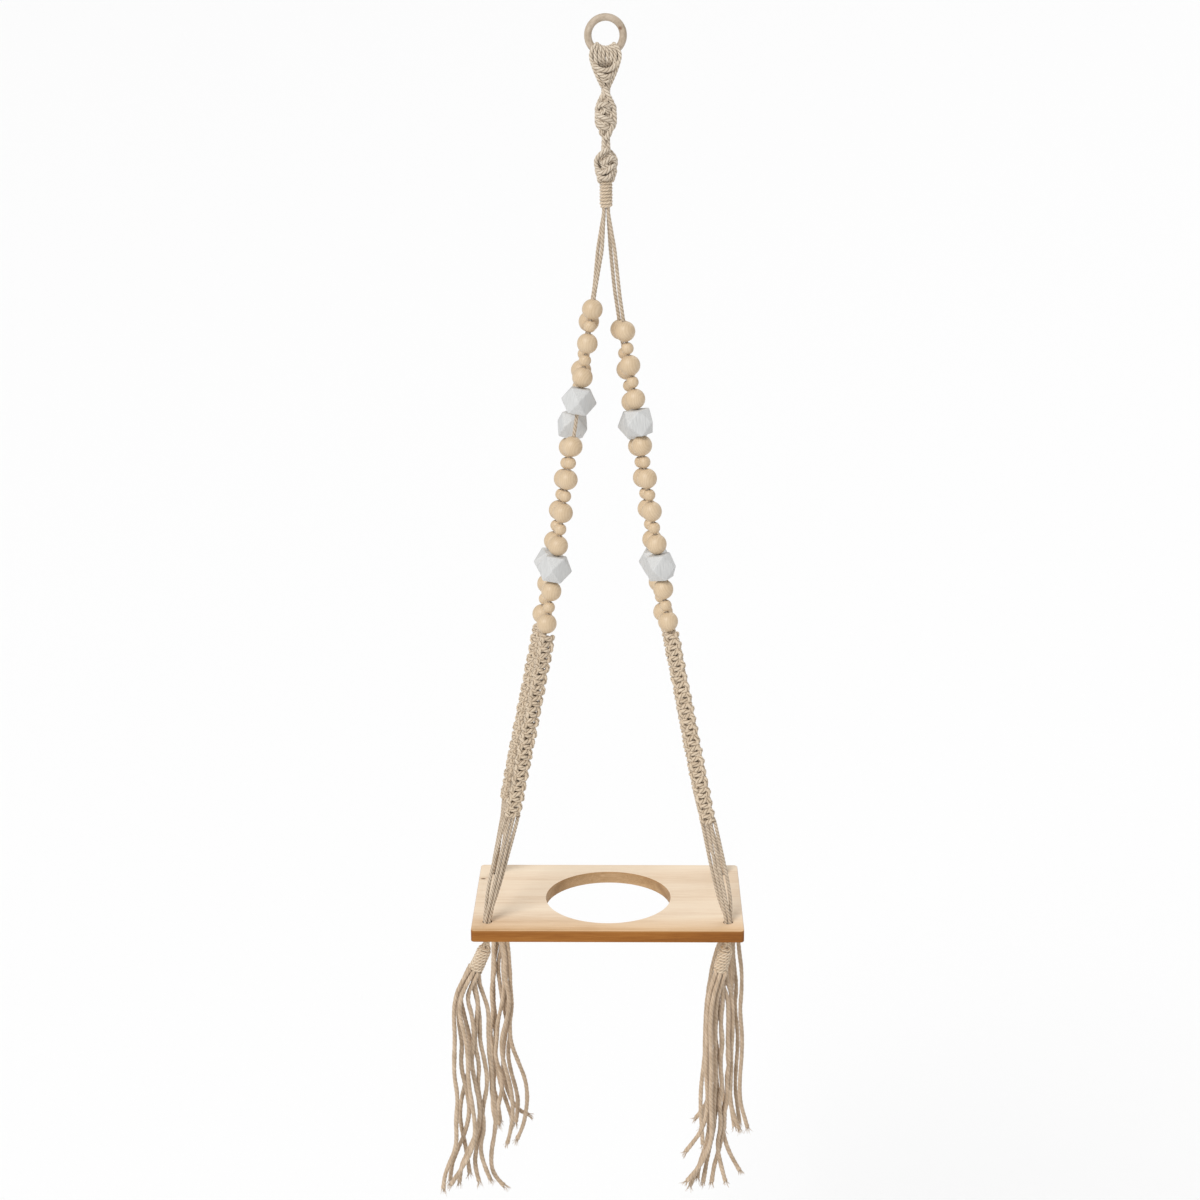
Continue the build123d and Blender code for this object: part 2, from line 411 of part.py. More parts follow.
# ---- the four legs: cord, beads, braid, and the knot under the board ----
for leg, shape in LEGS.items():
    side = shape["side"]
    beads_top, braid_top = (Vector(*point) for point in shape["bead_line"])
    braid_end = Vector(*shape["sinnet_end"])
    down = (braid_end - braid_top).normalized()
    across = across_leg(down, shape["flat"])
    deep = across.cross(down)
    braid_length = (braid_end - braid_top).length

    # The four cords stand in a row as they leave the braid and in a square in the board's hole.
    hole = Vector(side[0] * LEG_HOLE_XY[0], side[1] * LEG_HOLE_XY[1], HOLE_ENTRY)
    hole_across = Vector(across.X, across.Y, 0).normalized()
    hole_deep = Vector(-hole_across.Y, hole_across.X, 0)
    seats = {}
    for i, j in ((-1, -1), (1, -1), (-1, 1), (1, 1)):
        seats[i, j] = hole + (hole_across * i + hole_deep * j) * NECK_OFFSET

    # The main cord is one strand of the neck, all the way down to the knot under the board.
    neck_x, neck_y = side[0] * NECK_OFFSET, side[1] * NECK_OFFSET
    main_route = (
        (neck_x, neck_y, NECK_TURN - NECK_GAP),
        (neck_x, neck_y, PARTING),
        shape["open"],
        beads_top,
        braid_top,
        braid_end,
        seats[-1, -1],
        at_height(seats[-1, -1], BOARD_BOTTOM),
    )
    main_tube, length = cord(main_route, CORD_D, MAIN_RADII)
    print(leg, "main cord", round(length, 1))
    with BuildPart() as leg_cord:
        add(main_tube)
    save(leg_cord, f"leg_cord_{leg}")

    # The beads, counted upward from the braid along the cord.
    along = (beads_top - braid_top).normalized()
    place = BEAD_START
    for group, kinds in BEAD_GROUPS:
        slid = shape["slid"] if group.startswith("upper") else 0
        centres = []
        for kind in kinds:
            centres.append(place + HALF_HEIGHT[kind] + slid)
            place += 2 * HALF_HEIGHT[kind] + BEAD_GAP
        if group == "upper_round_beads":
            centres[-1] += shape["lifted"]
        with BuildPart(Plane(braid_top, x_dir=across, z_dir=along)) as beads:
            for kind, centre in zip(kinds, centres):
                if kind == "W":
                    continue
                with Locations((0, 0, centre)):
                    Sphere(HALF_HEIGHT[kind])
            if kinds == "W":
                turned = shape["faceted"][group.startswith("upper")]
                faceted_bead(braid_top + along * centres[0], along, turned)
            with Locations((0, 0, centres[0])):
                Cylinder(BEAD_HOLE_R, 4 * (beads_top - braid_top).length, mode=Mode.SUBTRACT)
        save(beads, f"{group}_{leg}")

    # The braid: square knots tied round the main cord and one more.
    knots = round(braid_length / BRAID_PITCH)
    pitch = braid_length / knots
    middle_line = across * (CORD_SPACING / 2)
    with BuildPart() as sinnet:
        for i in range(knots):
            middle = braid_top + down * (pitch * (i + 0.5)) + middle_line
            turned = across_leg(down, shape["flat"] + shape["twist"] * (i / (knots - 1) - 0.5))
            square_knot(middle, turned, down, BRAID_WIDTH, BRAID_THICKNESS, pitch)
        with BuildSketch(Plane(braid_top + middle_line, x_dir=across, z_dir=down)):
            SlotOverall(*BRAID_HOLE)
        extrude(amount=2 * braid_length, both=True, mode=Mode.SUBTRACT)
    save(sinnet, f"sinnet_{leg}")

    # The second cord of the braid, and the two that tie it, on to the board.
    filler_route = (
        braid_top + across * CORD_SPACING + down * FILLER_START,
        braid_end + across * CORD_SPACING,
        seats[1, -1],
        at_height(seats[1, -1], BOARD_BOTTOM),
    )
    routes = {"filler": (filler_route, FILLER_RADII)}
    bend = shape["bend"]
    for name, way, inner_end, inner_seat in (
        ("outer worker", -1, braid_end, seats[-1, -1]),
        ("inner worker", 1, braid_end + across * CORD_SPACING, seats[1, -1]),
    ):
        beside = inner_end + (inner_seat - inner_end) * bend
        route = (
            inner_end + across * (way * WORKER_SPACING) + down * WORKER_START,
            beside + (across * way + deep) * WORKER_SWING,
            seats[way, 1],
            at_height(seats[way, 1], BOARD_BOTTOM),
        )
        routes[name] = (route, WORKER_RADII)
    tubes = []
    for name, (route, radii) in routes.items():
        tube, length = cord(route, CORD_D, radii)
        print(leg, name, round(length, 1))
        tubes.append(tube)
    with BuildPart() as extra_cords:
        add(tubes)
    save(extra_cords, f"extra_cords_{leg}")

    # The knot that carries the corner of the board.
    knot_top = (STOPPER_TOP_R, 0)
    knot_foot = (STOPPER_FOOT_R, -STOPPER_HEIGHT)
    with BuildPart() as stopper_knot:
        with BuildSketch(Plane(at_height(hole, BOARD_BOTTOM), x_dir=(1, 0, 0), z_dir=(0, -1, 0))):
            with BuildLine():
                Polyline(knot_foot, (0, -STOPPER_HEIGHT), (0, 0), knot_top)
                Spline(knot_top, (STOPPER_R, -STOPPER_HEIGHT / 2), knot_foot)
            make_face()
        revolve(axis=Axis(hole, (0, 0, 1)))
    save(stopper_knot, f"stopper_knot_{leg}")

# ---- the tassels: a wrap, and six slack strands hanging out of its foot ----
for leg, tassel in TASSELS.items():
    side = LEGS[leg]["side"]
    corner = Vector(side[0] * LEG_HOLE_XY[0], side[1] * LEG_HOLE_XY[1], 0)
    pivot = at_height(corner, TASSEL_PIVOT)
    foot = at_height(corner, TASSEL_FOOT) + Vector(tassel["lean"], 0, 0)
    wrap_axis = foot - pivot
    turns = round((wrap_axis.length - TASSEL_SHOULDER) / TASSEL_WRAP_PITCH)
    pitch = (wrap_axis.length - TASSEL_SHOULDER) / turns
    core_r = TASSEL_WRAP_R - pitch / 2
    with BuildPart() as tassel_wrap:
        with BuildSketch(Plane(pivot, x_dir=wrap_axis.cross(Vector(0, 1, 0)), z_dir=(0, 1, 0))):
            with BuildLine():
                Polyline(
                    (0, TASSEL_TOP),
                    (TASSEL_TOP_R, TASSEL_TOP),
                    (core_r, TASSEL_SHOULDER),
                    (core_r, wrap_axis.length),
                    (0, wrap_axis.length),
                    close=True,
                )
            make_face()
            for i in range(turns):
                with Locations((core_r, TASSEL_SHOULDER + pitch * (i + 0.5))):
                    Circle(pitch / 2)
        revolve(axis=Axis(pivot, wrap_axis))
    save(tassel_wrap, f"tassel_wrap_{leg}")

    tubes = []
    tightest = []
    for strand in tassel["strands"]:
        route = [corner + Vector(*point) for point in strand]
        radii = corner_radii(route)
        tube, length = cord(route, STRAND_D, radii)
        print(leg, "tassel strand", round(length, 1), "radii", [round(radius) for radius in radii])
        tubes.append(tube)
        tightest.append(min(radii))
    print(leg, "tightest radius in the tassel", round(min(tightest), 1))
    with BuildPart() as tassel_strands:
        add(tubes)
    save(tassel_strands, f"tassel_strands_{leg}")
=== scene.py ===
from math import acos, cos, pi, radians, sin, sqrt

import bpy
import bmesh
import numpy as np
from mathutils import Matrix, Vector


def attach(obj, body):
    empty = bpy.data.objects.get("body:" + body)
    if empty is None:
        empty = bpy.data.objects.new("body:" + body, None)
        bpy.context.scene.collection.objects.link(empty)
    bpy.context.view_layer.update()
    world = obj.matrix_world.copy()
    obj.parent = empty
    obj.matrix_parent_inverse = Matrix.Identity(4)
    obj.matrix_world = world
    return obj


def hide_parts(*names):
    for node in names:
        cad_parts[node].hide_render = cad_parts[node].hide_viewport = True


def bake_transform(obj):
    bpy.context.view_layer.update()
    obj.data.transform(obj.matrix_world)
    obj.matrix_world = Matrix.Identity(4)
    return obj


# Looks for the hanging macrame planter: twisted three-ply cords, real knots, turned and faceted
# wooden beads, a grained board and frayed tassels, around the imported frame. Lengths in this
# script are millimetres in the model's own frame, and MM takes them to metres as a mesh is made.

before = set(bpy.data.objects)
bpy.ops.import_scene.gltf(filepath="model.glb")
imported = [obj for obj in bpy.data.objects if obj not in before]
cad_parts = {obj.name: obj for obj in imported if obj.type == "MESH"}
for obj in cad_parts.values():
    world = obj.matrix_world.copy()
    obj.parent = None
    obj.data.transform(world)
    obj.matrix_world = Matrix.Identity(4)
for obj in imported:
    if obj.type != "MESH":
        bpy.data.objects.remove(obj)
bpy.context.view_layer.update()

MM = 0.001
SEED = 335
random = np.random.default_rng(SEED)

# ---- sizes that the looks need ----
CORD_R = 1.9
STRAND_R = 2.33             # to the crests of its plies; between them it is thinner
STRAND_LAY = 15.0           # one turn of its plies, which have relaxed
YARN_ENDS = 22              # in its frayed end
BRAID_CORD_R = 2.55
NECK_CORD_R = 2.25
KNOT_CORD_R = 1.75          # a cord pulled tight in a knot
FOLD_CORD_R = 1.85          # a cord folded over the ring
WRAP_CORD_R = 1.5
LAY_LENGTH = 12.0           # one turn of a cord's three plies
RING_STEP = 0.8             # along a cord, from one ring of its mesh to the next
PLY_POINTS = 18             # round a cord

RING_CENTRE = np.array((0.0, 0.0, -13.0))
RING_R = 16.5
RING_BAR_R = 3.5
BOARD_TOP = -886.0
BOARD_BOTTOM = -898.5
LEG_HOLE_XY = (122.5, 62.0)
TASSEL_PIVOT = -909.3
TASSEL_FOOT = -940.6        # where its strands leave the wrap
BEAD_R = {"L": 10.0, "s": 6.0}
BEAD_HOLE_R = 2.3
FACETED_BEAD = 25.0
BEAD_GAP = 0.55
BEAD_START = 0.3
CORD_SPACING = 3.9
BRAID_START = 1.8           # the lowest bead rests on the first knot
KNOT_LENGTH = 11.3          # of one square knot, about

# ---- the four legs ----
# side: which corner of the board. open: where the strands have parted under the wrap.
# bead_line: the straight stretch that carries the beads, from its top to the braid's top.
# sinnet_end: the braid's lower end. flat: how far the braid's flat side is turned about the leg,
# and twist: how much more from its top to its end, in degrees. bend: where the two tying cords
# below the braid stand off, as a part of their way to the board, and stand_off: how far each does.
# slid: how far the upper beads have slid up their cord. lifted: the same for the topmost bead
# alone, from its neighbour. faceted: how the two faceted beads are turned about the cord, the
# lower one first. tilt: how far the turns of the tassel's wrap lean.
LEGS = {
    "front_left": {
        "side": (-1, -1), "open": (-3.9, -4.9, -212), "slid": 22.0, "lifted": 0.0,
        "flat": -20, "twist": 14, "bend": 0.62, "faceted": (38, 45), "stand_off": (4.2, 3.4), "tilt": -0.05,
        "bead_line": ((-10.6, -7.5, -250), (-61.3, -35.2, -587)),
        "sinnet_end": (-98.1, -54.6, -774),
    },
    "front_right": {
        "side": (1, -1), "open": (8.2, -5.1, -212), "slid": 0.0, "lifted": 0.0,
        "flat": 12, "twist": -12, "bend": 0.7, "faceted": (20, 8), "stand_off": (4.4, 4.6), "tilt": 0.04,
        "bead_line": ((13.0, -8.7, -256), (62.0, -28.0, -587)),
        "sinnet_end": (100.5, -45.2, -785),
    },
    "back_left": {
        "side": (-1, 1), "open": (-8.0, 5.1, -212), "slid": 0.0, "lifted": 16.0,
        "flat": 70, "twist": 16, "bend": 0.55, "faceted": (60, 15), "stand_off": (3.4, 4.0), "tilt": 0.03,
        "bead_line": ((-11.7, 8.4, -250), (-68.3, 28.5, -596)),
        "sinnet_end": (-108.5, 46.0, -794),
    },
    "back_right": {
        "side": (1, 1), "open": (4.0, 5.1, -212), "slid": 0.0, "lifted": 7.5,
        "flat": -60, "twist": -10, "bend": 0.66, "faceted": (33, 52), "stand_off": (4.0, 3.5), "tilt": -0.04,
        "bead_line": ((7.6, 8.3, -250), (57.8, 36.0, -596)),
        "sinnet_end": (94.5, 55.5, -794),
    },
}

# The beads of a leg from the braid upward, as node, body and beads: L large, s small, W faceted.
BEAD_GROUPS = (
    ("lower_round_beads", "lower_beads", "LsL"),
    ("lower_faceted_bead", "lower_faceted", "W"),
    ("middle_round_beads", "middle_beads", "LsLsLsL"),
    ("upper_faceted_bead", "upper_faceted", "W"),
    ("upper_round_beads", "upper_beads", "LsLsL"),
)
HALF_HEIGHT = {"L": BEAD_R["L"], "s": BEAD_R["s"], "W": FACETED_BEAD / 2}

# ---- the tassels ----
# How far the foot of each tassel's wrap stands out from its hole along X.
TASSEL_LEAN = {"front_left": -15.0, "front_right": -7.0, "back_left": 4.5, "back_right": 9.0}
# Each strand's route, from the foot of the wrap to its frayed end, with x and y from the hole's
# axis and z in the model's own frame. Each strand keeps to its own depth in y.
STRANDS = {}
STRANDS["front_left"] = (
    ((-20.3, -4.6, -940.5), (-28.5, -5.6, -953), (-34.3, -6.8, -970), (-36, -7.2, -990),
     (-35.2, -7, -1010), (-36.2, -7.2, -1032), (-37.2, -6.9, -1057), (-33.6, -7.1, -1081),
     (-36.3, -7.3, -1109), (-36, -7.2, -1138), (-44, -7.6, -1159), (-50, -7.9, -1174),
     (-51.2, -8, -1188)),
    ((-16, -4.5, -942.6), (-23, -7.8, -954), (-29.2, -10.4, -970), (-29.4, -11.8, -988),
     (-24.4, -12, -1008), (-21.8, -12.2, -1032), (-22.4, -11.8, -1058), (-18.6, -12.1, -1088),
     (-15.4, -12.3, -1114), (-18.6, -12.2, -1139), (-31, -12.6, -1162), (-42, -12.9, -1180)),
    ((-11.5, -4.6, -944.7), (-18.3, -3, -957), (-22.2, -2.5, -972), (-17.4, -2.3, -990),
     (-15.6, -2.2, -1014), (-19.4, -2.4, -1040), (-16.6, -2.6, -1064), (-12, -2.3, -1089),
     (-11.4, -2.2, -1111), (-18, -2.4, -1132), (-26.5, -2.6, -1151), (-33.2, -2.4, -1168),
     (-34.4, -2.3, -1183)),
    ((-18, 0, -941.6), (-24.5, 1.6, -954), (-31, 2.3, -972), (-32.6, 2.5, -998),
     (-28.4, 2.4, -1024), (-31, 2.3, -1050), (-25.8, 2.5, -1076), (-22, 2.4, -1101),
     (-27, 2.3, -1127), (-37, 2.5, -1150), (-43.6, 2.6, -1170), (-44.5, 2.5, -1183)),
    ((-13.9, 0, -943.5), (-15, 1.8, -957), (-10.8, 2.4, -975), (-13.6, 2.5, -1000),
     (-16, 2.3, -1026), (-11, 2.4, -1050), (-13.8, 2.5, -1074), (-10.2, 2.3, -1098),
     (-7, 2.4, -1122), (-12.6, 2.5, -1146), (-9, 2.4, -1166), (-3, 2.5, -1182)),
    ((-20.3, 4.6, -940.5), (-27, 6.2, -954), (-30.6, 7.1, -972), (-26.2, 7.3, -996),
     (-19.8, 7.2, -1026), (-21.4, 7.4, -1054), (-29, 7.5, -1081), (-33.8, 7.3, -1106),
     (-31.4, 7.2, -1130), (-26.8, 7.4, -1154), (-24.6, 7.5, -1178)),
    ((-16, 4.5, -942.6), (-17.6, 6.3, -957), (-12.4, 7.1, -976), (-9.9, 7.1, -1000),
     (-10.9, 7.3, -1024), (-5.8, 7, -1048), (-3.2, 7.2, -1073), (-8.4, 7.4, -1099),
     (-11.2, 7.2, -1125), (-16.6, 7.3, -1149), (-19.4, 7.2, -1170), (-14.8, 7, -1188)),
    ((-11.5, 4.6, -944.7), (-11, 8, -956), (-6.6, 10.4, -972), (-1, 11.8, -992),
     (-2.2, 12, -1016), (-2, 12.3, -1040), (0.8, 12.1, -1064), (0.2, 11.9, -1088),
     (4.6, 12.2, -1110), (2.8, 12.4, -1134), (-1.4, 12.2, -1156), (-1.8, 12.3, -1176),
     (4.4, 12.6, -1190), (11, 12.8, -1197)),
)
STRANDS["front_right"] = (
    ((-12.2, -4.6, -941.7), (-16.8, -5.6, -955), (-19.4, -6.8, -974), (-20.6, -7.1, -1000),
     (-20.4, -7.3, -1026), (-21.4, -7, -1052), (-19, -7.2, -1078), (-19.8, -7.4, -1102),
     (-25.6, -7.6, -1120), (-33.8, -7.9, -1133), (-41.2, -8.2, -1143)),
    ((-7.5, -4.5, -942.7), (-12.2, -8.2, -955), (-16, -10.8, -972), (-17.4, -11.9, -995),
     (-16.6, -12, -1022), (-15.6, -12.2, -1050), (-16.4, -11.9, -1078), (-15, -12.1, -1104),
     (-14.8, -12.4, -1128), (-21.6, -12.5, -1149), (-31, -12.8, -1164), (-39.8, -13, -1175)),
    ((-2.7, -4.6, -943.8), (-7.6, -3, -957), (-11.4, -2.5, -976), (-11.8, -2.3, -1004),
     (-11.6, -2.2, -1034), (-10.6, -2.4, -1062), (-12.6, -2.5, -1088), (-11.9, -2.3, -1114),
     (-15.8, -2.4, -1137), (-24, -2.6, -1156), (-31.2, -2.5, -1172), (-35.8, -2.4, -1186)),
    ((-9.7, 0, -942.3), (-14, 1.6, -955), (-16.6, 2.3, -973), (-14.6, 2.5, -997),
     (-17.8, 2.4, -1022), (-13.6, 2.3, -1047), (-17.4, 2.4, -1072), (-19.6, 2.5, -1097),
     (-16.4, 2.4, -1121), (-20.4, 2.3, -1144), (-27, 2.5, -1165), (-28.6, 2.4, -1180)),
    ((-5.3, 0, -943.2), (-5.6, 1.8, -957), (-4, 2.4, -974), (-6.6, 2.4, -998),
     (-3.6, 2.5, -1022), (-6.4, 2.4, -1047), (-3.4, 2.3, -1070), (-7, 2.4, -1094),
     (-4, 2.5, -1117), (-8.4, 2.4, -1140), (-5.2, 2.3, -1162), (0.6, 2.5, -1184)),
    ((-12.2, 4.6, -941.7), (-12.4, 6.5, -956), (-8.4, 7.2, -973), (-9.6, 7.2, -993),
     (-12, 7.1, -1015), (-8.2, 7.3, -1038), (-10.8, 7.2, -1060), (-7.2, 7.4, -1086),
     (-10.4, 7.2, -1106), (-12.4, 7.3, -1130), (-17.6, 7.2, -1155), (-22.4, 7.3, -1188)),
    ((-7.5, 4.5, -942.7), (-6.4, 6.5, -956), (1.2, 7.1, -974), (2.2, 7.2, -998),
     (1.4, 7, -1022), (3.6, 7.3, -1046), (0.8, 7.1, -1068), (2.6, 7.4, -1090),
     (-1.8, 7.2, -1110), (-2, 7.3, -1130), (-6.6, 7.1, -1152), (-11.8, 7.4, -1172),
     (-13.2, 7.5, -1188)),
    ((-2.7, 4.6, -943.8), (-0.6, 8.2, -955), (5, 10.6, -970), (6.6, 11.8, -992),
     (6.8, 12.1, -1016), (5.2, 12.3, -1041), (6.2, 12, -1064), (2, 12.2, -1087),
     (-2.4, 12.4, -1108), (-2.6, 12.2, -1130), (2.8, 12.4, -1151), (9.6, 12.6, -1166),
     (15.6, 12.8, -1177)),
)
STRANDS["back_left"] = (
    ((0, -4.6, -943.5), (2.4, -3, -957), (8.6, -2.5, -974), (7.2, -2.3, -998),
     (8.9, -2.2, -1020), (5, -2.4, -1042), (0.4, -2.6, -1062), (-0.6, -2.3, -1083),
     (-3.2, -2.2, -1104), (4.2, -2.4, -1126), (4, -2.6, -1146), (-1.6, -2.4, -1166),
     (-0.6, -2.3, -1186)),
    ((9.6, -4.6, -942), (12, -5.6, -955), (13.8, -6.8, -974), (15.4, -7.1, -996),
     (15.4, -7.4, -1018), (17, -7.2, -1040), (13.4, -7, -1064), (15.4, -7.3, -1086),
     (22.4, -7.6, -1106), (30.4, -7.8, -1128), (32.4, -8, -1150), (30, -7.9, -1171),
     (26, -7.6, -1189), (20.4, -7.4, -1201)),
    ((4.8, -4.5, -942.8), (6.8, -8, -956), (10.4, -11.2, -976), (10, -12, -1004),
     (15.2, -12.2, -1029), (11.6, -12, -1053), (4.4, -11.8, -1076), (5.6, -12.1, -1100),
     (11.2, -12.3, -1121), (15.4, -12.4, -1143), (16.4, -12.2, -1166), (14.2, -12.1, -1186),
     (9.6, -12, -1204)),
    ((2.6, 0, -943.1), (0.6, 1.8, -957), (-3, 2.4, -976), (-1.2, 2.5, -1000),
     (-6.4, 2.4, -1026), (-4.2, 2.3, -1050), (-8.6, 2.4, -1076), (-5, 2.5, -1100),
     (-9.4, 2.4, -1124), (-6.2, 2.3, -1148), (-8, 2.4, -1168), (-4.4, 2.5, -1184)),
    ((7.1, 0, -942.4), (8.2, 1.8, -956), (8.8, 2.4, -975), (12, 2.5, -1000),
     (8.4, 2.4, -1025), (11.2, 2.3, -1050), (14.6, 2.4, -1075), (10.4, 2.5, -1099),
     (13.4, 2.4, -1123), (19.6, 2.3, -1146), (21.8, 2.5, -1166), (18.4, 2.4, -1186)),
    ((4.8, 4.5, -942.8), (3.8, 6.3, -957), (0.2, 7.1, -978), (-4.6, 7.2, -1003),
     (-3.6, 7.3, -1030), (-5.2, 7.2, -1056), (-1.6, 7.1, -1083), (-3.6, 7.2, -1110),
     (0.4, 7.3, -1136), (6, 7.4, -1158), (12.6, 7.2, -1180)),
    ((9.6, 4.6, -942), (9.4, 6.5, -956), (5.4, 7.1, -976), (0.8, 7.2, -1000),
     (3.6, 7, -1024), (6.2, 7.2, -1046), (10.8, 7.4, -1067), (6.6, 7.2, -1092),
     (4.4, 7.1, -1117), (7.4, 7.3, -1143), (13.4, 7.6, -1163), (22.6, 7.9, -1176),
     (31.2, 8.2, -1180)),
    ((0, 4.6, -943.5), (-1.2, 8, -955), (-3.4, 11.4, -974), (-4, 11.9, -1000),
     (-5.8, 12.2, -1028), (-3.4, 12, -1054), (-2, 12.2, -1076), (-5.6, 12.4, -1100),
     (-4.2, 12.1, -1126), (-6.8, 12.3, -1148), (-1.6, 12.5, -1168), (0.2, 12.4, -1188)),
)
STRANDS["back_right"] = (
    ((4.9, -4.6, -944.1), (1.2, -5.6, -954), (-6, -6.8, -970), (-11.2, -7.1, -992),
     (-15, -7.3, -1018), (-17.6, -7.1, -1046), (-18.2, -7.4, -1074), (-18.4, -7.2, -1102),
     (-21.6, -7, -1130), (-22.6, -7.3, -1156), (-21.4, -7.4, -1182), (-19.4, -7.5, -1207)),
    ((14.2, -4.6, -941.4), (16, -7.8, -953), (17.2, -10.6, -971), (20.4, -11.8, -993),
     (20.8, -12.1, -1016), (19, -12.3, -1042), (21.8, -12, -1068), (22, -12.2, -1096),
     (20, -12.4, -1124), (20.4, -12.5, -1150), (25, -12.8, -1168), (29, -13, -1182)),
    ((9.6, -4.5, -942.7), (10.4, -3, -955), (10, -2.5, -977), (11.4, -2.3, -1006),
     (9.4, -2.2, -1036), (11.6, -2.4, -1066), (8.6, -2.6, -1096), (11.4, -2.3, -1124),
     (9.8, -2.2, -1150), (13.8, -2.5, -1173), (20.6, -2.8, -1190)),
    ((7.4, 0, -943.4), (5.4, 1.7, -956), (-1, 2.4, -974), (-5.4, 2.5, -998),
     (-8.6, 2.4, -1022), (-11, 2.3, -1047), (-7.8, 2.4, -1072), (-12, 2.5, -1097),
     (-14.6, 2.4, -1122), (-12.8, 2.3, -1146), (-16.4, 2.4, -1168), (-20.4, 2.5, -1190)),
    ((11.8, 0, -942.1), (12.6, 1.8, -955), (9, 2.4, -975), (7.2, 2.5, -1000),
     (10.8, 2.4, -1026), (7, 2.3, -1052), (9.4, 2.4, -1078), (6.4, 2.5, -1102),
     (9.8, 2.4, -1127), (8.4, 2.3, -1151), (13, 2.4, -1172), (15.4, 2.5, -1190)),
    ((4.9, 4.6, -944.1), (3.2, 6.4, -956), (-1.8, 7.1, -976), (-3, 7.3, -1004),
     (-5.4, 7.1, -1034), (-6.6, 7.4, -1064), (-5.8, 7.2, -1094), (-8.8, 7.4, -1124),
     (-11.4, 7.2, -1152), (-17.6, 7.6, -1171), (-26.8, 8, -1183)),
    ((9.6, 4.5, -942.7), (8.8, 6.3, -956), (3.6, 7.1, -978), (2.4, 7.3, -1008),
     (1.8, 7.2, -1038), (-0.8, 7.4, -1068), (0.8, 7.2, -1098), (-0.8, 7.3, -1126),
     (2.6, 7.4, -1150), (5.6, 7.6, -1172), (4.6, 7.5, -1196)),
    ((14.2, 4.6, -941.4), (14.2, 7.8, -953), (11.4, 10.6, -972), (13, 11.8, -998),
     (16.6, 12.1, -1024), (14.4, 12.3, -1050), (18, 12, -1076), (18.6, 12.2, -1100),
     (16.8, 12.4, -1126), (16.4, 12.2, -1150), (19.2, 12.4, -1172), (21.8, 12.5, -1191)),
)


def linked(name, data):
    """A new object in the scene."""
    made = bpy.data.objects.new(name, data)
    bpy.context.scene.collection.objects.link(made)
    return made


# ---- lines ----
def unit(vector):
    vector = np.asarray(vector, float)
    return vector / np.linalg.norm(vector)


def spun(vector, axis, angle):
    """A vector turned about an axis by an angle in degrees."""
    vector, axis, angle = np.asarray(vector, float), unit(axis), radians(angle)
    across = np.cross(axis, vector)
    return vector * cos(angle) + across * sin(angle) + axis * (axis @ vector) * (1 - cos(angle))


def sides(axis, hint):
    """Two unit vectors across an axis and across each other."""
    side = unit(np.cross(axis, hint))
    return side, np.cross(axis, side)


def across_leg(direction, turned):
    """The unit vector across a leg, nearest to +X, turned about the leg by some degrees."""
    flat = np.array((1.0, 0, 0)) - direction * direction[0]
    return spun(unit(flat), direction, turned)


def reach_along(line):
    """How far along a line each of its points is."""
    return np.r_[0, np.cumsum(np.linalg.norm(np.diff(line, axis=0), axis=1))]


def spread(points, step=RING_STEP):
    """Evenly spaced points along a line of points."""
    points = np.asarray(points, float)
    reach = reach_along(points)
    count = max(2, round(reach[-1] / step) + 1)
    along = np.linspace(0, reach[-1], count)
    return np.stack([np.interp(along, reach, points[:, k]) for k in range(3)], axis=1)


def through(points, step=RING_STEP):
    """A smooth line that passes through every point."""
    points = np.asarray(points, float)
    ends = np.vstack([2 * points[0] - points[1], points, 2 * points[-1] - points[-2]])
    t = np.linspace(0, 1, 12, endpoint=False)[:, None]
    pieces = []
    for a, b, c, d in zip(ends, ends[1:], ends[2:], ends[3:]):
        bend = (2 * a - 5 * b + 4 * c - d) * t ** 2 + (3 * b - a - 3 * c + d) * t ** 3
        pieces.append(0.5 * (2 * b + (c - a) * t + bend))
    return spread(np.vstack(pieces + [points[-1:]]), step)


def taut(points, ease=8.0, step=RING_STEP):
    """Straight runs with gently eased corners, for a cord under load."""
    line = spread(points, step)
    half = max(1, round(ease / step / 2))
    padded = np.vstack([2 * line[0] - line[half:0:-1], line, 2 * line[-1] - line[-2:-half - 2:-1]])
    kernel = np.ones(2 * half + 1) / (2 * half + 1)
    return np.stack([np.convolve(padded[:, k], kernel, "valid") for k in range(3)], axis=1)


def nurbs_line(points, name):
    """A route's smooth line: a NURBS spline with the route's points as its control points."""
    curve = bpy.data.curves.new(name, "CURVE")
    curve.dimensions = "3D"
    spline = curve.splines.new("NURBS")
    spline.points.add(len(points) - 1)
    for point, place in zip(spline.points, points):
        point.co = (place[0] * MM, place[1] * MM, place[2] * MM, 1)
    spline.order_u = 3
    spline.use_endpoint_u = True
    spline.resolution_u = 16
    holder = linked(name, curve)
    line = bpy.data.meshes.new_from_object(holder)
    points = np.array([vertex.co[:] for vertex in line.vertices]) / MM
    bpy.data.objects.remove(holder)
    bpy.data.meshes.remove(line)
    bpy.data.curves.remove(curve)
    return points


# ---- meshes ----
# A three-ply cord's outline: three round plies that touch, their grooves partly filled.
PLY_R = 0.4641
PLY_OFFSET = 0.5359
GROOVE = 0.27
ply_angles = np.arange(PLY_POINTS) * 2 * pi / PLY_POINTS
from_ply = np.abs((ply_angles + pi / 3) % (2 * pi / 3) - pi / 3)
ply_side = PLY_OFFSET * np.sin(from_ply)
ply_reach = PLY_OFFSET * np.cos(from_ply) + np.sqrt(np.maximum(PLY_R ** 2 - ply_side ** 2, 0))
PLY_CREST = (ply_reach - ply_reach.min()) / (1 - ply_reach.min())
PLY_OUTLINE = 1 - GROOVE + GROOVE * PLY_CREST
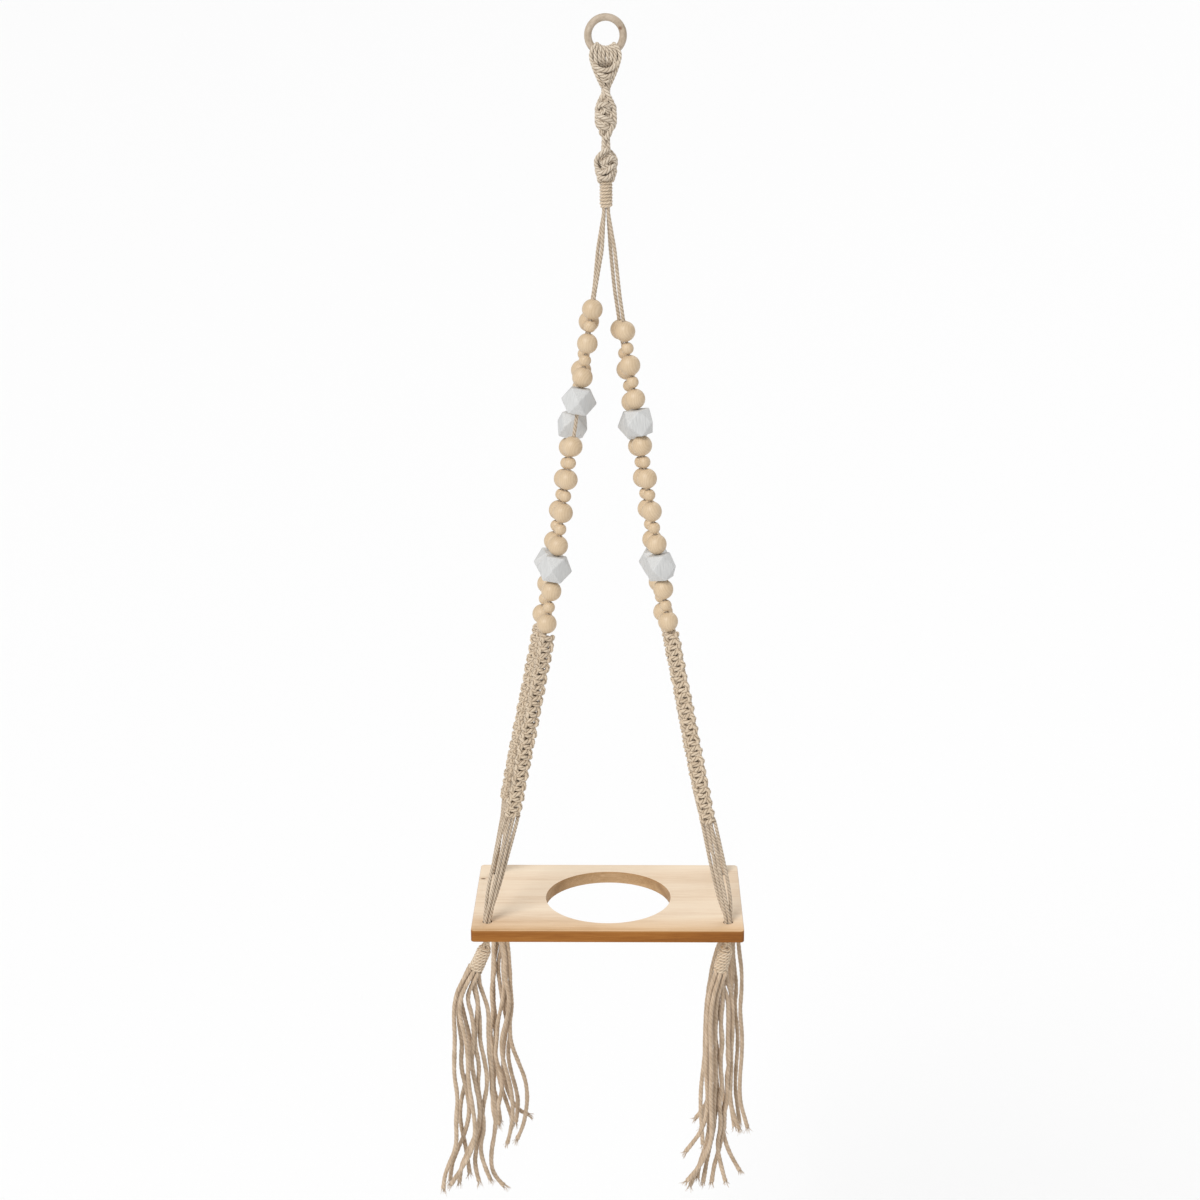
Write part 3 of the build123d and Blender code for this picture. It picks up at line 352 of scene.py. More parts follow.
# The same for the tassels' strands, whose twist has relaxed: shallower grooves, and less painted shade in
# them.
LOOSE_GROOVE = 0.17
LOOSE_OUTLINE = 1 - LOOSE_GROOVE + LOOSE_GROOVE * PLY_CREST
LOOSE_CREST = 0.42 + 0.58 * PLY_CREST


def set_attribute(mesh, name, kind, field, values):
    """Gives each vertex a value that its material reads."""
    attribute = mesh.attributes.new(name, kind, "POINT")
    attribute.data.foreach_set(field, values.astype(np.float32).ravel())


class Piece:
    """Gathers swept cords and turned solids into one mesh, with what their materials need:
    "lay", a place along and around the cord or in the wood, and "crest", 0 in the grooves, where cords get
    painted shade."""

    def __init__(self):
        self.points, self.faces, self.lay, self.crest = [], [], [], []
        self.count = 0

    def grid(self, rings, lay, crest, closed_ends=True):
        """Rings of equally many points, each joined to the next."""
        rows, columns = rings.shape[:2]
        here = np.arange(rows * columns).reshape(rows, columns) + self.count
        after = np.roll(here, -1, axis=1)
        quads = np.stack([here[:-1], after[:-1], after[1:], here[1:]], axis=-1).reshape(-1, 4)
        self.faces.extend(quads.tolist())
        if closed_ends:
            self.faces.append(here[0][::-1].tolist())
            self.faces.append(here[-1].tolist())
        self.points.append(rings.reshape(-1, 3))
        self.lay.append(np.broadcast_to(lay, rings.shape).reshape(-1, 3))
        self.crest.append(np.broadcast_to(crest, rings.shape[:2]).reshape(-1))
        self.count += rows * columns

    def rope(self, line, radius, outline=PLY_OUTLINE, crest=PLY_CREST, lay_length=LAY_LENGTH):
        """A twisted cord along a line. The radius may be a number or one for each point."""
        line = np.asarray(line, float)
        rows = len(line)
        radius = np.broadcast_to(np.asarray(radius, float), (rows,))
        tangents = np.gradient(line, axis=0)
        tangents /= np.linalg.norm(tangents, axis=1)[:, None]
        side = np.cross(tangents[0], (0.31, 0.94, 0.12))
        normals = np.empty_like(line)
        for i, tangent in enumerate(tangents):
            side = side - tangent * (side @ tangent)
            side /= np.linalg.norm(side)
            normals[i] = side
        binormals = np.cross(tangents, normals)
        reach = reach_along(line)
        columns = len(outline)
        angles = np.arange(columns) * 2 * pi / columns
        start = random.uniform(0, 2 * pi)
        turn = start - reach[:, None] * 2 * pi / lay_length + angles[None]
        out = normals[:, None] * np.cos(turn)[..., None] + binormals[:, None] * np.sin(turn)[..., None]
        rings = line[:, None] + out * (radius[:, None] * outline[None])[..., None]
        lay = np.empty_like(rings)
        lay[..., 0] = np.cos(angles)[None] * radius[:, None]
        lay[..., 1] = np.sin(angles)[None] * radius[:, None]
        lay[..., 2] = reach[:, None] + random.uniform(0, 400)
        self.grid(rings, lay, crest[None])

    def fibre(self, line, radius):
        """A fine yarn end, tapering to its tip."""
        thickness = radius * np.linspace(1, 0.35, len(line))
        self.rope(line, thickness, np.ones(4), np.ones(4), 3 * LAY_LENGTH)

    def turned(self, profile, centre, axis, columns=48):
        """A closed outline of (radius, height) turned about an axis, with its own wood grain."""
        axis = unit(axis)
        side, other = sides(axis, (0.2, 0.95, 0.1))
        angles = np.arange(columns) * 2 * pi / columns
        out = side[None] * np.cos(angles)[:, None] + other[None] * np.sin(angles)[:, None]
        profile = np.asarray(profile, float)
        rings = centre + out[None] * profile[:, 0, None, None] + axis * profile[:, 1, None, None]
        tilt = spun(spun((0, 0, 1), (1, 0, 0), random.uniform(-22, 22)), (0, 0, 1), random.uniform(0, 360))
        basis = np.stack([*sides(tilt, (0.3, 0.9, 0.2)), tilt])
        local = np.empty_like(rings)
        local[..., 0] = profile[:, 0, None] * np.cos(angles)[None]
        local[..., 1] = profile[:, 0, None] * np.sin(angles)[None]
        local[..., 2] = profile[:, 1, None]
        lay = local @ basis.T + random.uniform(-300, 300, 3)
        rings = np.concatenate([rings, rings[:1]])
        lay = np.concatenate([lay, lay[:1]])
        self.grid(rings, lay, 1.0, closed_ends=False)

    def made(self, name, material, *nodes, slot="cotton_cord"):
        """The Blender object of everything gathered, which stands for some CAD nodes or none."""
        mesh = bpy.data.meshes.new(name)
        points = np.concatenate(self.points) * MM
        mesh.from_pydata(points.tolist(), [], self.faces)
        set_attribute(mesh, "lay", "FLOAT_VECTOR", "vector", np.concatenate(self.lay))
        set_attribute(mesh, "crest", "FLOAT", "value", np.concatenate(self.crest))
        mesh.shade_smooth()
        mesh.materials.append(material)
        piece = linked(name, mesh)
        if nodes:
            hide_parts(*nodes)
        return piece


# ---- materials ----
class Shading:
    """A material in the making: its shader, and short calls for the nodes that feed it. Each call
    gives the new node's output, and takes plain values or the outputs of other nodes."""

    def __init__(self, name, roughness, **sockets):
        self.material = bpy.data.materials.new(name)
        self.material.use_nodes = True
        self.tree = self.material.node_tree
        self.shader = self.tree.nodes["Principled BSDF"]
        self.shader.inputs["Roughness"].default_value = roughness
        for socket, value in sockets.items():
            self.shader.inputs[socket.replace("_", " ")].default_value = value

    def node(self, kind, output, inputs, **settings):
        made = self.tree.nodes.new("ShaderNode" + kind)
        for key, value in settings.items():
            setattr(made, key, value)
        for key, value in inputs.items():
            if isinstance(value, bpy.types.NodeSocket):
                self.tree.links.new(value, made.inputs[key])
            else:
                made.inputs[key].default_value = value
        return made.outputs[output]

    def lay(self):
        return self.node("Attribute", "Vector", {}, attribute_name="lay")

    def part(self, vector, letter):
        return self.node("SeparateXYZ", letter, {"Vector": vector})

    def scaled(self, place, scale):
        return self.node("Mapping", "Vector", {"Vector": place, "Scale": scale})

    def noise(self, place, detail, scale=1.0, roughness=0.5, distortion=0.0, output="Fac"):
        inputs = {"Vector": place, "Scale": scale, "Detail": detail, "Roughness": roughness}
        return self.node("TexNoise", output, {**inputs, "Distortion": distortion})

    def mix(self, share, first, second):
        return self.node("Mix", 2, {"Factor": share, "A": first, "B": second}, data_type="RGBA")

    def between(self, value, low, high):
        """0 at low and below it, 1 at high and above it."""
        return self.node("MapRange", "Result", {"Value": value, "From Min": low, "From Max": high})

    def length(self, place, stretch):
        """How far a place is from the origin, once it is stretched."""
        scaled = self.node("VectorMath", 0, {0: place, 1: stretch}, operation="MULTIPLY")
        return self.node("VectorMath", "Value", {0: scaled}, operation="LENGTH")

    def ramp(self, value, *stops):
        """A colour ramp of (place, colour) stops."""
        colour = self.node("ValToRGB", "Color", {"Fac": value})
        elements = colour.node.color_ramp.elements
        while len(elements) < len(stops):
            elements.new(0.5)
        for element, (place, stop_colour) in zip(elements, stops):
            element.position = place
            element.color = (*stop_colour, 1)
        return colour

    def spot(self, place, centre, stretch, rim, dark, around):
        """A small dark knot in the wood. rim is how far out it starts and ends to fade."""
        from_centre = {"Vector": place, "Location": [-part for part in centre]}
        reach = self.length(self.node("Mapping", "Vector", from_centre), stretch)
        return self.mix(self.between(reach, *rim), (*dark, 1), around)

    def finished(self, colour, height, strength, distance):
        """The material, with its colour and the bump that height gives it."""
        bump = {"Height": height, "Strength": strength, "Distance": distance}
        self.tree.links.new(colour, self.shader.inputs["Base Color"])
        self.tree.links.new(self.node("Bump", "Normal", bump), self.shader.inputs["Normal"])
        return self.material


def cord_material(name, pale, deep, groove_shade):
    """Twisted cotton: fine yarns along each ply, painted shade in the grooves between its plies, a little
    uneven.
    """
    cord = Shading(name, 0.92, Sheen_Weight=0.25, Sheen_Roughness=0.6, Specular_IOR_Level=0.2)
    lay = cord.lay()
    crest = cord.node("Attribute", "Fac", {}, attribute_name="crest")
    fine = cord.noise(cord.scaled(lay, (2.6, 2.6, 0.28)), 3.0, roughness=0.6)
    tone = cord.noise(cord.scaled(lay, (0.1, 0.1, 0.06)), 2.0)
    both = cord.node("Math", 0, {0: fine, 1: tone}, operation="ADD")
    half = cord.node("Math", 0, {0: both, 1: 0.5}, operation="MULTIPLY")
    body = cord.ramp(half, (0.34, deep), (0.66, pale))
    # Painted shade: where crest is low, in the grooves between the plies, the colour darkens toward the last
    # one given.
    colour = cord.mix(cord.between(crest, 0.0, 0.75), (*groove_shade, 1), body)
    return cord.finished(colour, fine, 0.55, 0.0003)


def wood_material(name, pale, mid, dark, roughness):
    """Wood whose grain runs along each piece's own z, with growth rings around it."""
    wood = Shading(name, roughness)
    lay = wood.lay()
    grain = wood.scaled(lay, (0.16, 0.16, 0.022))
    bent = wood.mix(0.35, grain, wood.noise(grain, 3.0, output="Color"))
    rings = wood.node("TexWave", "Fac", {"Vector": bent, "Scale": 1.5, "Distortion": 3.0, "Detail": 2.5})
    fine = wood.noise(wood.scaled(lay, (2.4, 2.4, 0.16)), 3.0, roughness=0.65)
    soft = wood.mix(0.72, rings, wood.noise(grain, 2.0, scale=0.7))
    colour = wood.ramp(wood.mix(0.4, soft, fine), (0.25, dark), (0.48, mid), (0.66, pale))
    return wood.finished(colour, fine, 0.25, 0.0002)


def painted_material():
    """Matte white paint over wood: faint grain shows through, and a little grime."""
    paint = Shading("white_paint", 0.55)
    fine = paint.noise(paint.scaled(paint.lay(), (1.1, 1.1, 0.09)), 4.0, roughness=0.6)
    colour = paint.ramp(fine, (0.3, (0.50, 0.50, 0.49)), (0.6, (0.62, 0.62, 0.61)))
    return paint.finished(colour, fine, 0.3, 0.00025)


def board_material():
    """A pine board: pale face, grain along X, warmer to its front, and a knot near its left end.
    Its outer edge is oiled, with a thin lighter band along its top, and the wall of its hole is sawn. Places
    are metres here, as the object's coordinates are."""
    board = Shading("board_pine", 0.6, Specular_IOR_Level=0.25)
    place = board.node("TexCoord", "Object", {})
    wide = board.noise(board.scaled(place, (5.0, 90.0, 90.0)), 2.0, scale=0.6, distortion=0.8)
    fine = board.noise(board.scaled(place, (40.0, 1400.0, 1400.0)), 3.0, roughness=0.7)
    shade = board.mix(0.45, wide, fine)
    pale = board.ramp(shade, (0.3, (0.68, 0.49, 0.32)), (0.52, (0.84, 0.68, 0.51)), (0.7, (0.89, 0.76, 0.59)))
    warm = board.ramp(
        shade, (0.3, (0.51, 0.29, 0.125)), (0.52, (0.72, 0.48, 0.27)), (0.7, (0.80, 0.575, 0.355)))
    oiled = board.ramp(
        shade, (0.3, (0.16, 0.048, 0.005)), (0.5, (0.285, 0.102, 0.014)), (0.7, (0.41, 0.175, 0.038)))
    sawn = board.ramp(shade, (0.3, (0.22, 0.11, 0.045)), (0.5, (0.41, 0.25, 0.12)), (0.7, (0.61, 0.41, 0.24)))
    outer = board.between(board.length(place, (1.0, 1.0, 0.0)), 0.067, 0.07)
    # The top of the outer edge is a little lighter, in a thin band.
    line = board.between(board.part(place, "Z"), -0.8882, -0.8872)
    lighter_top_band = board.node("Math", 0, {0: line, 1: 0.25}, operation="MULTIPLY")
    edge = board.mix(lighter_top_band, board.mix(outer, sawn, oiled), (0.47, 0.24, 0.085, 1))
    face = board.mix(board.between(board.part(place, "Y"), -0.082, -0.045), warm, pale)
    up = board.part(board.node("TexCoord", "Normal", {}), "Z")
    level = board.node("Math", 0, {0: up}, operation="ABSOLUTE")
    colour = board.mix(board.between(level, 0.55, 0.9), edge, face)
    knotted = board.spot(
        place, (-0.1335, 0.046, -0.886), (1.0, 1.6, 1.0), (0.0015, 0.0035), (0.24, 0.13, 0.07), colour)
    return board.finished(knotted, fine, 0.25, 0.0003)


def ring_material():
    """The ring's wood: taupe, its grain in the ring's plane, and a small knot at its upper right."""
    ring = Shading("ring_beech", 0.5)
    place = ring.node("TexCoord", "Object", {})
    wide = ring.noise(ring.scaled(place, (60.0, 380.0, 60.0)), 3.0, distortion=0.6)
    fine = ring.noise(ring.scaled(place, (300.0, 1700.0, 300.0)), 2.0)
    colour = ring.ramp(
        ring.mix(0.4, wide, fine),
        (0.32, (0.34, 0.265, 0.185)), (0.5, (0.47, 0.38, 0.285)), (0.68, (0.58, 0.485, 0.385)))
    knotted = ring.spot(
        place, (0.0138, -0.0032, -0.0065), (1.0, 1.0, 1.0), (0.0008, 0.0024), (0.22, 0.12, 0.07), colour)
    return ring.finished(knotted, fine, 0.2, 0.0002)


# The last colour of each cotton is painted shade, for the grooves between its plies.
cotton = cord_material("cotton", (0.75, 0.62, 0.47), (0.57, 0.45, 0.315), (0.29, 0.20, 0.12))
leg_cotton = cord_material("leg_cotton", (0.66, 0.545, 0.42), (0.46, 0.365, 0.26), (0.20, 0.135, 0.08))
braid_cotton = cord_material("braid_cotton", (0.71, 0.59, 0.445), (0.51, 0.40, 0.28), (0.22, 0.15, 0.09))
neck_cotton = cord_material("neck_cotton", (0.76, 0.665, 0.54), (0.50, 0.405, 0.30), (0.22, 0.155, 0.095))
tassel_cotton = cord_material("tassel_cotton", (0.65, 0.505, 0.365), (0.39, 0.28, 0.18), (0.16, 0.10, 0.058))
bead_wood = wood_material("bead_wood", (0.66, 0.515, 0.35), (0.605, 0.46, 0.30), (0.53, 0.39, 0.24), 0.45)
white_paint = painted_material()

# ---- carried over from the frame ----
for name, material in (("hanging_ring", ring_material()), ("board", board_material())):
    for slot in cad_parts[name].material_slots:
        slot.material = material

# ---- the cords folded over the ring, and the hitch below it ----
# How a folded cord comes down: its x as a share of where it leaves the ring, its y and its z.
# The outermost cords stand off and come down at the sides.
OUTER = ((1.16, -5.4, -31), (1.02, -5.6, -39), (0.66, -4.8, -50), (0.26, -2.4, -60))
NEXT = ((1.0, -6.2, -34), (0.86, -5.2, -41), (0.52, -3.6, -50), (0.2, -2.0, -58))
INNER = ((0.95, -6.2, -34), (0.75, -2.6, -39), (0.4, 0.6, -44), (0.3, -0.6, -54))
BACK = ((0.95, 6.0, -35), (0.7, 4.6, -43), (0.4, 3.2, -51), (0.18, 2.0, -58))
# Each fold's place in degrees from the ring's lowest point, and its way down in front.
FOLDS = (
    (-46, OUTER), (-34, NEXT), (-20, INNER), (-7, INNER), (7, INNER), (20, INNER), (33, NEXT), (45, OUTER),
)
FOLD_REACH = RING_BAR_R + FOLD_CORD_R + 0.2
hitch = Piece()
for angle, front in FOLDS:
    outward = np.array((sin(radians(angle)), 0, -cos(radians(angle))))
    bar = RING_CENTRE + outward * RING_R
    x = bar[0]
    down_front = [bar + np.array((0, -FOLD_REACH, 0))] + [(share * x, y, z) for share, y, z in front]
    down_back = [bar + np.array((0, FOLD_REACH, 0))] + [(share * x, y, z) for share, y, z in BACK]
    over = [
        bar + (np.array((0, y, 0)) - outward * up) * FOLD_REACH
        for y, up in ((-0.72, 0.72), (0, 1), (0.72, 0.72))
    ]
    hitch.rope(through(down_front[::-1] + over + down_back), FOLD_CORD_R)


def tie_across(piece, routes):
    """Cords tied across the front, and the same ones turned half round at the back."""
    for facing in (-1, 1):
        for route in routes:
            piece.rope(through([(-x * facing, -y * facing, z) for x, y, z in route]), NECK_CORD_R)


# Two cords cross below the folds, front and back, and a third is tucked under them.
tie_across(hitch, (
    ((-12.6, -1.0, -33), (-11.4, -5.2, -38.5), (-6.0, -8.2, -43), (0.0, -9.0, -44.4), (6.0, -8.2, -42.6),
     (11.4, -5.2, -38), (12.6, -1.0, -32.5)),
    ((-8.6, -2.6, -43), (-6.0, -6.8, -46.8), (-1.6, -8.6, -49.6), (2.8, -8.0, -50), (6.4, -5.4, -47.2),
     (8.4, -2.4, -43.5)),
    ((-4.6, -2.0, -48), (-2.4, -5.6, -52.2), (1.2, -6.6, -54), (4.0, -4.6, -51.6), (4.8, -1.4, -48)),
))

# The four strands of the neck twist slowly. They run in two pieces, one with the hitch and
# one with the neck's knots; the first knot hides where they meet.
NECK_OFFSET = 1.975         # of each strand from the neck's axis, along X and along Y
NECK_TWIST = 1.9            # degrees for each millimetre, from NECK_TOP down
NECK_TOP = -57


def neck_strands(piece, top, bottom):
    for corner in range(4):
        line = []
        for z in np.arange(top, bottom - 1, -3.0):
            angle = radians(45 + 90 * corner + (NECK_TOP - z) * NECK_TWIST)
            line.append((NECK_OFFSET * sqrt(2) * cos(angle), NECK_OFFSET * sqrt(2) * sin(angle), z))
        piece.rope(through(line), CORD_R)


neck_strands(hitch, -44, -66)
hitch_piece = hitch.made("hitch", neck_cotton, "ring_loops", "neck_cords")
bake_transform(hitch_piece)

# ---- knots ----
# The two tying cords in half a square knot, as shares of half the width, of the height and of the
# whole knot's length. The other half is its mirror image. The first cord crosses in front each
# time; the second hooks over its ends at alternating sides and crosses behind.
FRONT_CORD = ((-0.78, 0.2, 0.0), (-0.52, 0.95, 0.17), (0.0, 1.15, 0.25), (0.52, 0.95, 0.33))
BACK_CORD = (
    (1.2, 0.5, 0.0), (1.06, 1.1, 0.18), (0.84, 0.3, 0.33), (0.45, -0.95, 0.27), (-0.45, -0.95, 0.23),
    (-0.84, 0.3, 0.17), (-1.06, 1.1, 0.32),
)


def knot_lines(place, pitch, knots, half_width, height, loose):
    """The two cords of a stack of square knots. place(across, front, along) gives a point of the
    model."""
    lines = []
    for route in (FRONT_CORD, BACK_CORD):
        points = []
        for half_knot in range(2 * knots):
            way = -1 if half_knot % 2 else 1
            for across, front, along in route:
                jitter = random.normal(0, loose, 3)
                points.append(place(
                    way * across * half_width + jitter[0],
                    front * height + jitter[1],
                    (half_knot / 2 + along) * pitch + jitter[2] * 0.5,
                ))
        lines.append(through(points))
    return lines


# ---- the neck's two knotted lobes ----
# Each lobe's outline is half its width at heights down the neck. Doubled cords wind round it both
# ways, over and under each other in turn, and thicker ones are tied across its front and back.
neck = Piece()
neck_strands(neck, -63, -171)
LOBES = (
    ((-58, 3.2), (-66, 5.4), (-77, 8.4), (-85, 9.3), (-92, 9.4), (-102, 6.9), (-110, 3.2)),
    ((-113, 3.2), (-119, 5.6), (-125, 8.2), (-135, 10.2), (-141, 9.4), (-146, 7.4), (-151, 4.4)),
)
ARMS, WINDING = 3, 7.4      # cords each way, and their turn in degrees for each millimetre
LOBE_SKIN = 3.3             # from a lobe's outline in to the middle of its wound cords
LOBE_STEP = 4.0             # down the neck, from one point of a wound cord to the next
WEAVE = 1.2                 # how far a wound cord goes out and in as it passes over and under
for lobe in LOBES:
    heights, half_widths = (np.array(column, float) for column in zip(*lobe))
    for way in (-1, 1):
        for arm in range(ARMS):
            bulges = random.normal(0, 0.55, 40)
            for twin in (-1, 1):
                line = []
                for step, z in enumerate(np.arange(heights[0], heights[-1] - 1, -LOBE_STEP)):
                    run = heights[0] - z
                    over = WEAVE * way * cos(pi * (2 * WINDING * run - 60) / 120)
                    reach = np.interp(-z, -heights, half_widths) - LOBE_SKIN + over + bulges[step]
                    angle = way * run * WINDING + arm * 120 + (60 if way < 0 else 0)
                    angle = radians(angle) + twin * KNOT_CORD_R / max(reach, 3)
                    line.append((reach * cos(angle), reach * sin(angle), z))
                neck.rope(through(line), KNOT_CORD_R)
tie_across(neck, (
    ((-0.5, -4.4, -60), (3, -5.6, -68), (7.2, -5.0, -77), (8.4, -3.2, -86), (7.9, -3.8, -95),
     (3.6, -6.2, -101), (0, -4.6, -108)),
    ((5.2, -5.6, -77), (-0.5, -8.6, -75.5), (-6.6, -6.2, -77), (-8.2, -3.0, -81.5), (-5.6, -6.8, -86),
     (0.5, -8.8, -88.5), (6.0, -6.6, -92), (5.4, -5.2, -97), (0, -7.4, -97.5), (-5.0, -5.8, -94.5),
     (-7.4, -2.0, -90)),
    ((2, -5.4, -117), (-4.4, -6.6, -121), (-8.8, -4.2, -127), (-8.6, -3.4, -134), (-4.6, -7.6, -138.5),
     (1.4, -9.0, -137), (6.4, -7.0, -133), (8.6, -3.0, -138), (5.6, -3.2, -146)),
    ((-5.6, -3.0, -148), (-6.6, -5.0, -143.5), (-1.0, -8.6, -144), (4.4, -7.0, -141), (8.4, -2.0, -131),
     (6.0, -5.6, -125.5), (0.4, -8.0, -128), (-3.0, -7.6, -131)),
))
neck_piece = neck.made("neck_knots", neck_cotton, "upper_neck_knots", "lower_neck_knots")
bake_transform(neck_piece)

# ---- the gathering wrap, a tight coil ----
WRAP_TOP, WRAP_BOTTOM, WRAP_TURNS, WRAP_R = -145.2, -171.8, 8.6, 4.9


def coil(centre, axis, length, turns, reach, start=0.0):
    """A coil's line about an axis. reach gives its radius for a share of the length."""
    axis = unit(axis)
    side, other = sides(axis, (0.1, 0.97, 0.2))
    line = []
    for share in np.linspace(0, 1, int(turns * 20)):
        angle = start + share * turns * 2 * pi
        line.append(centre + axis * length * share + (side * cos(angle) + other * sin(angle)) * reach(share))
    return spread(line, 0.7)


# How far the turns of each coil stand from its axis, at a share of its length.
def wrap_reach(share):
    return WRAP_R - 1.5 * max(0, 1 - share * 30) - 1.5 * max(0, share * 30 - 29)


def stopper_reach(share):
    return 4.3 + 1.3 * sin(pi * min(1, share * 1.1 + 0.05))


def tassel_reach(share):
    return 5.85 - 2.2 * max(0, 1 - share * 5) ** 1.5


wrap = Piece()
wrap.rope(coil(np.array((0, 0, WRAP_TOP)), (0, 0, -1), WRAP_TOP - WRAP_BOTTOM, WRAP_TURNS, wrap_reach),
          WRAP_CORD_R, lay_length=9)
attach(wrap.made("wrap", cotton, "gathering_wrap"), "hanger")


# ---- beads ----
def bead_profile(radius):
    """A turned bead's outline: its round side, softly broken edges and the wall of its hole."""
    rim = 0.7
    edge = acos((BEAD_HOLE_R + rim) / radius)
    outline = [(radius * cos(a), radius * sin(a)) for a in np.linspace(edge, -edge, 26)]
    top = radius * sin(edge)
    corner = [(BEAD_HOLE_R + rim * 0.35, top - rim * 0.05), (BEAD_HOLE_R, top - rim * 0.6)]
    wall = [(BEAD_HOLE_R, top * share) for share in (-0.5, 0, 0.5)]
    return outline + [(r, -z) for r, z in corner] + wall + corner[::-1]


def faceted_bead(name, centre, axis, side):
    """A cube cut to its edges' middles, with eased edges and a hole between square faces."""
    half = FACETED_BEAD / 2
    squares = [(a * half, b * half) for a in (-1, 1) for b in (-1, 1)]
    build = bmesh.new()
    for flat in (2, 1, 0):
        for a, b in squares:
            build.verts.new(np.insert((a, b), flat, 0.0))
    bmesh.ops.convex_hull(build, input=build.verts)
    bmesh.ops.dissolve_limit(build, angle_limit=radians(2), verts=build.verts, edges=build.edges)
    bmesh.ops.bevel(build, geom=build.edges, offset=0.9, segments=3, profile=0.6, affect="EDGES")
    bmesh.ops.recalc_face_normals(build, faces=build.faces)
    body_mesh = bpy.data.meshes.new(name)
    build.to_mesh(body_mesh)
    build.free()
    drill = bmesh.new()
    bmesh.ops.create_cone(drill, cap_ends=True, segments=40, radius1=BEAD_HOLE_R, radius2=BEAD_HOLE_R,
                          depth=2 * FACETED_BEAD)
    drill_mesh = bpy.data.meshes.new("drill")
    drill.to_mesh(drill_mesh)
    drill.free()
    body = linked(name, body_mesh)
    tool = linked("drill", drill_mesh)
    cut = body.modifiers.new("hole", "BOOLEAN")
    cut.object = tool
    cut.solver = "EXACT"
    drilled = bpy.data.meshes.new_from_object(body.evaluated_get(bpy.context.evaluated_depsgraph_get()))
    bpy.data.objects.remove(tool)
    body.data = drilled
    axis, side = unit(axis), unit(side)
    basis = np.stack([side, np.cross(axis, side), axis])
    local = np.array([vertex.co[:] for vertex in drilled.vertices])
    set_attribute(drilled, "lay", "FLOAT_VECTOR", "vector", local + random.uniform(-300, 300, 3))
    placed = (np.asarray(centre) + local @ basis) * MM
    drilled.vertices.foreach_set("co", placed.astype(np.float32).ravel())
    drilled.shade_smooth()
    drilled.set_sharp_from_angle(angle=radians(28))
    drilled.materials.clear()
    drilled.materials.append(white_paint)
    return body


# ---- the four legs ----
OVER_BOARD = BOARD_TOP + 2
STOPPER_TOP = BOARD_BOTTOM - 1.9
QUADRANTS = ((-1, -1), (1, -1), (-1, 1), (1, 1))


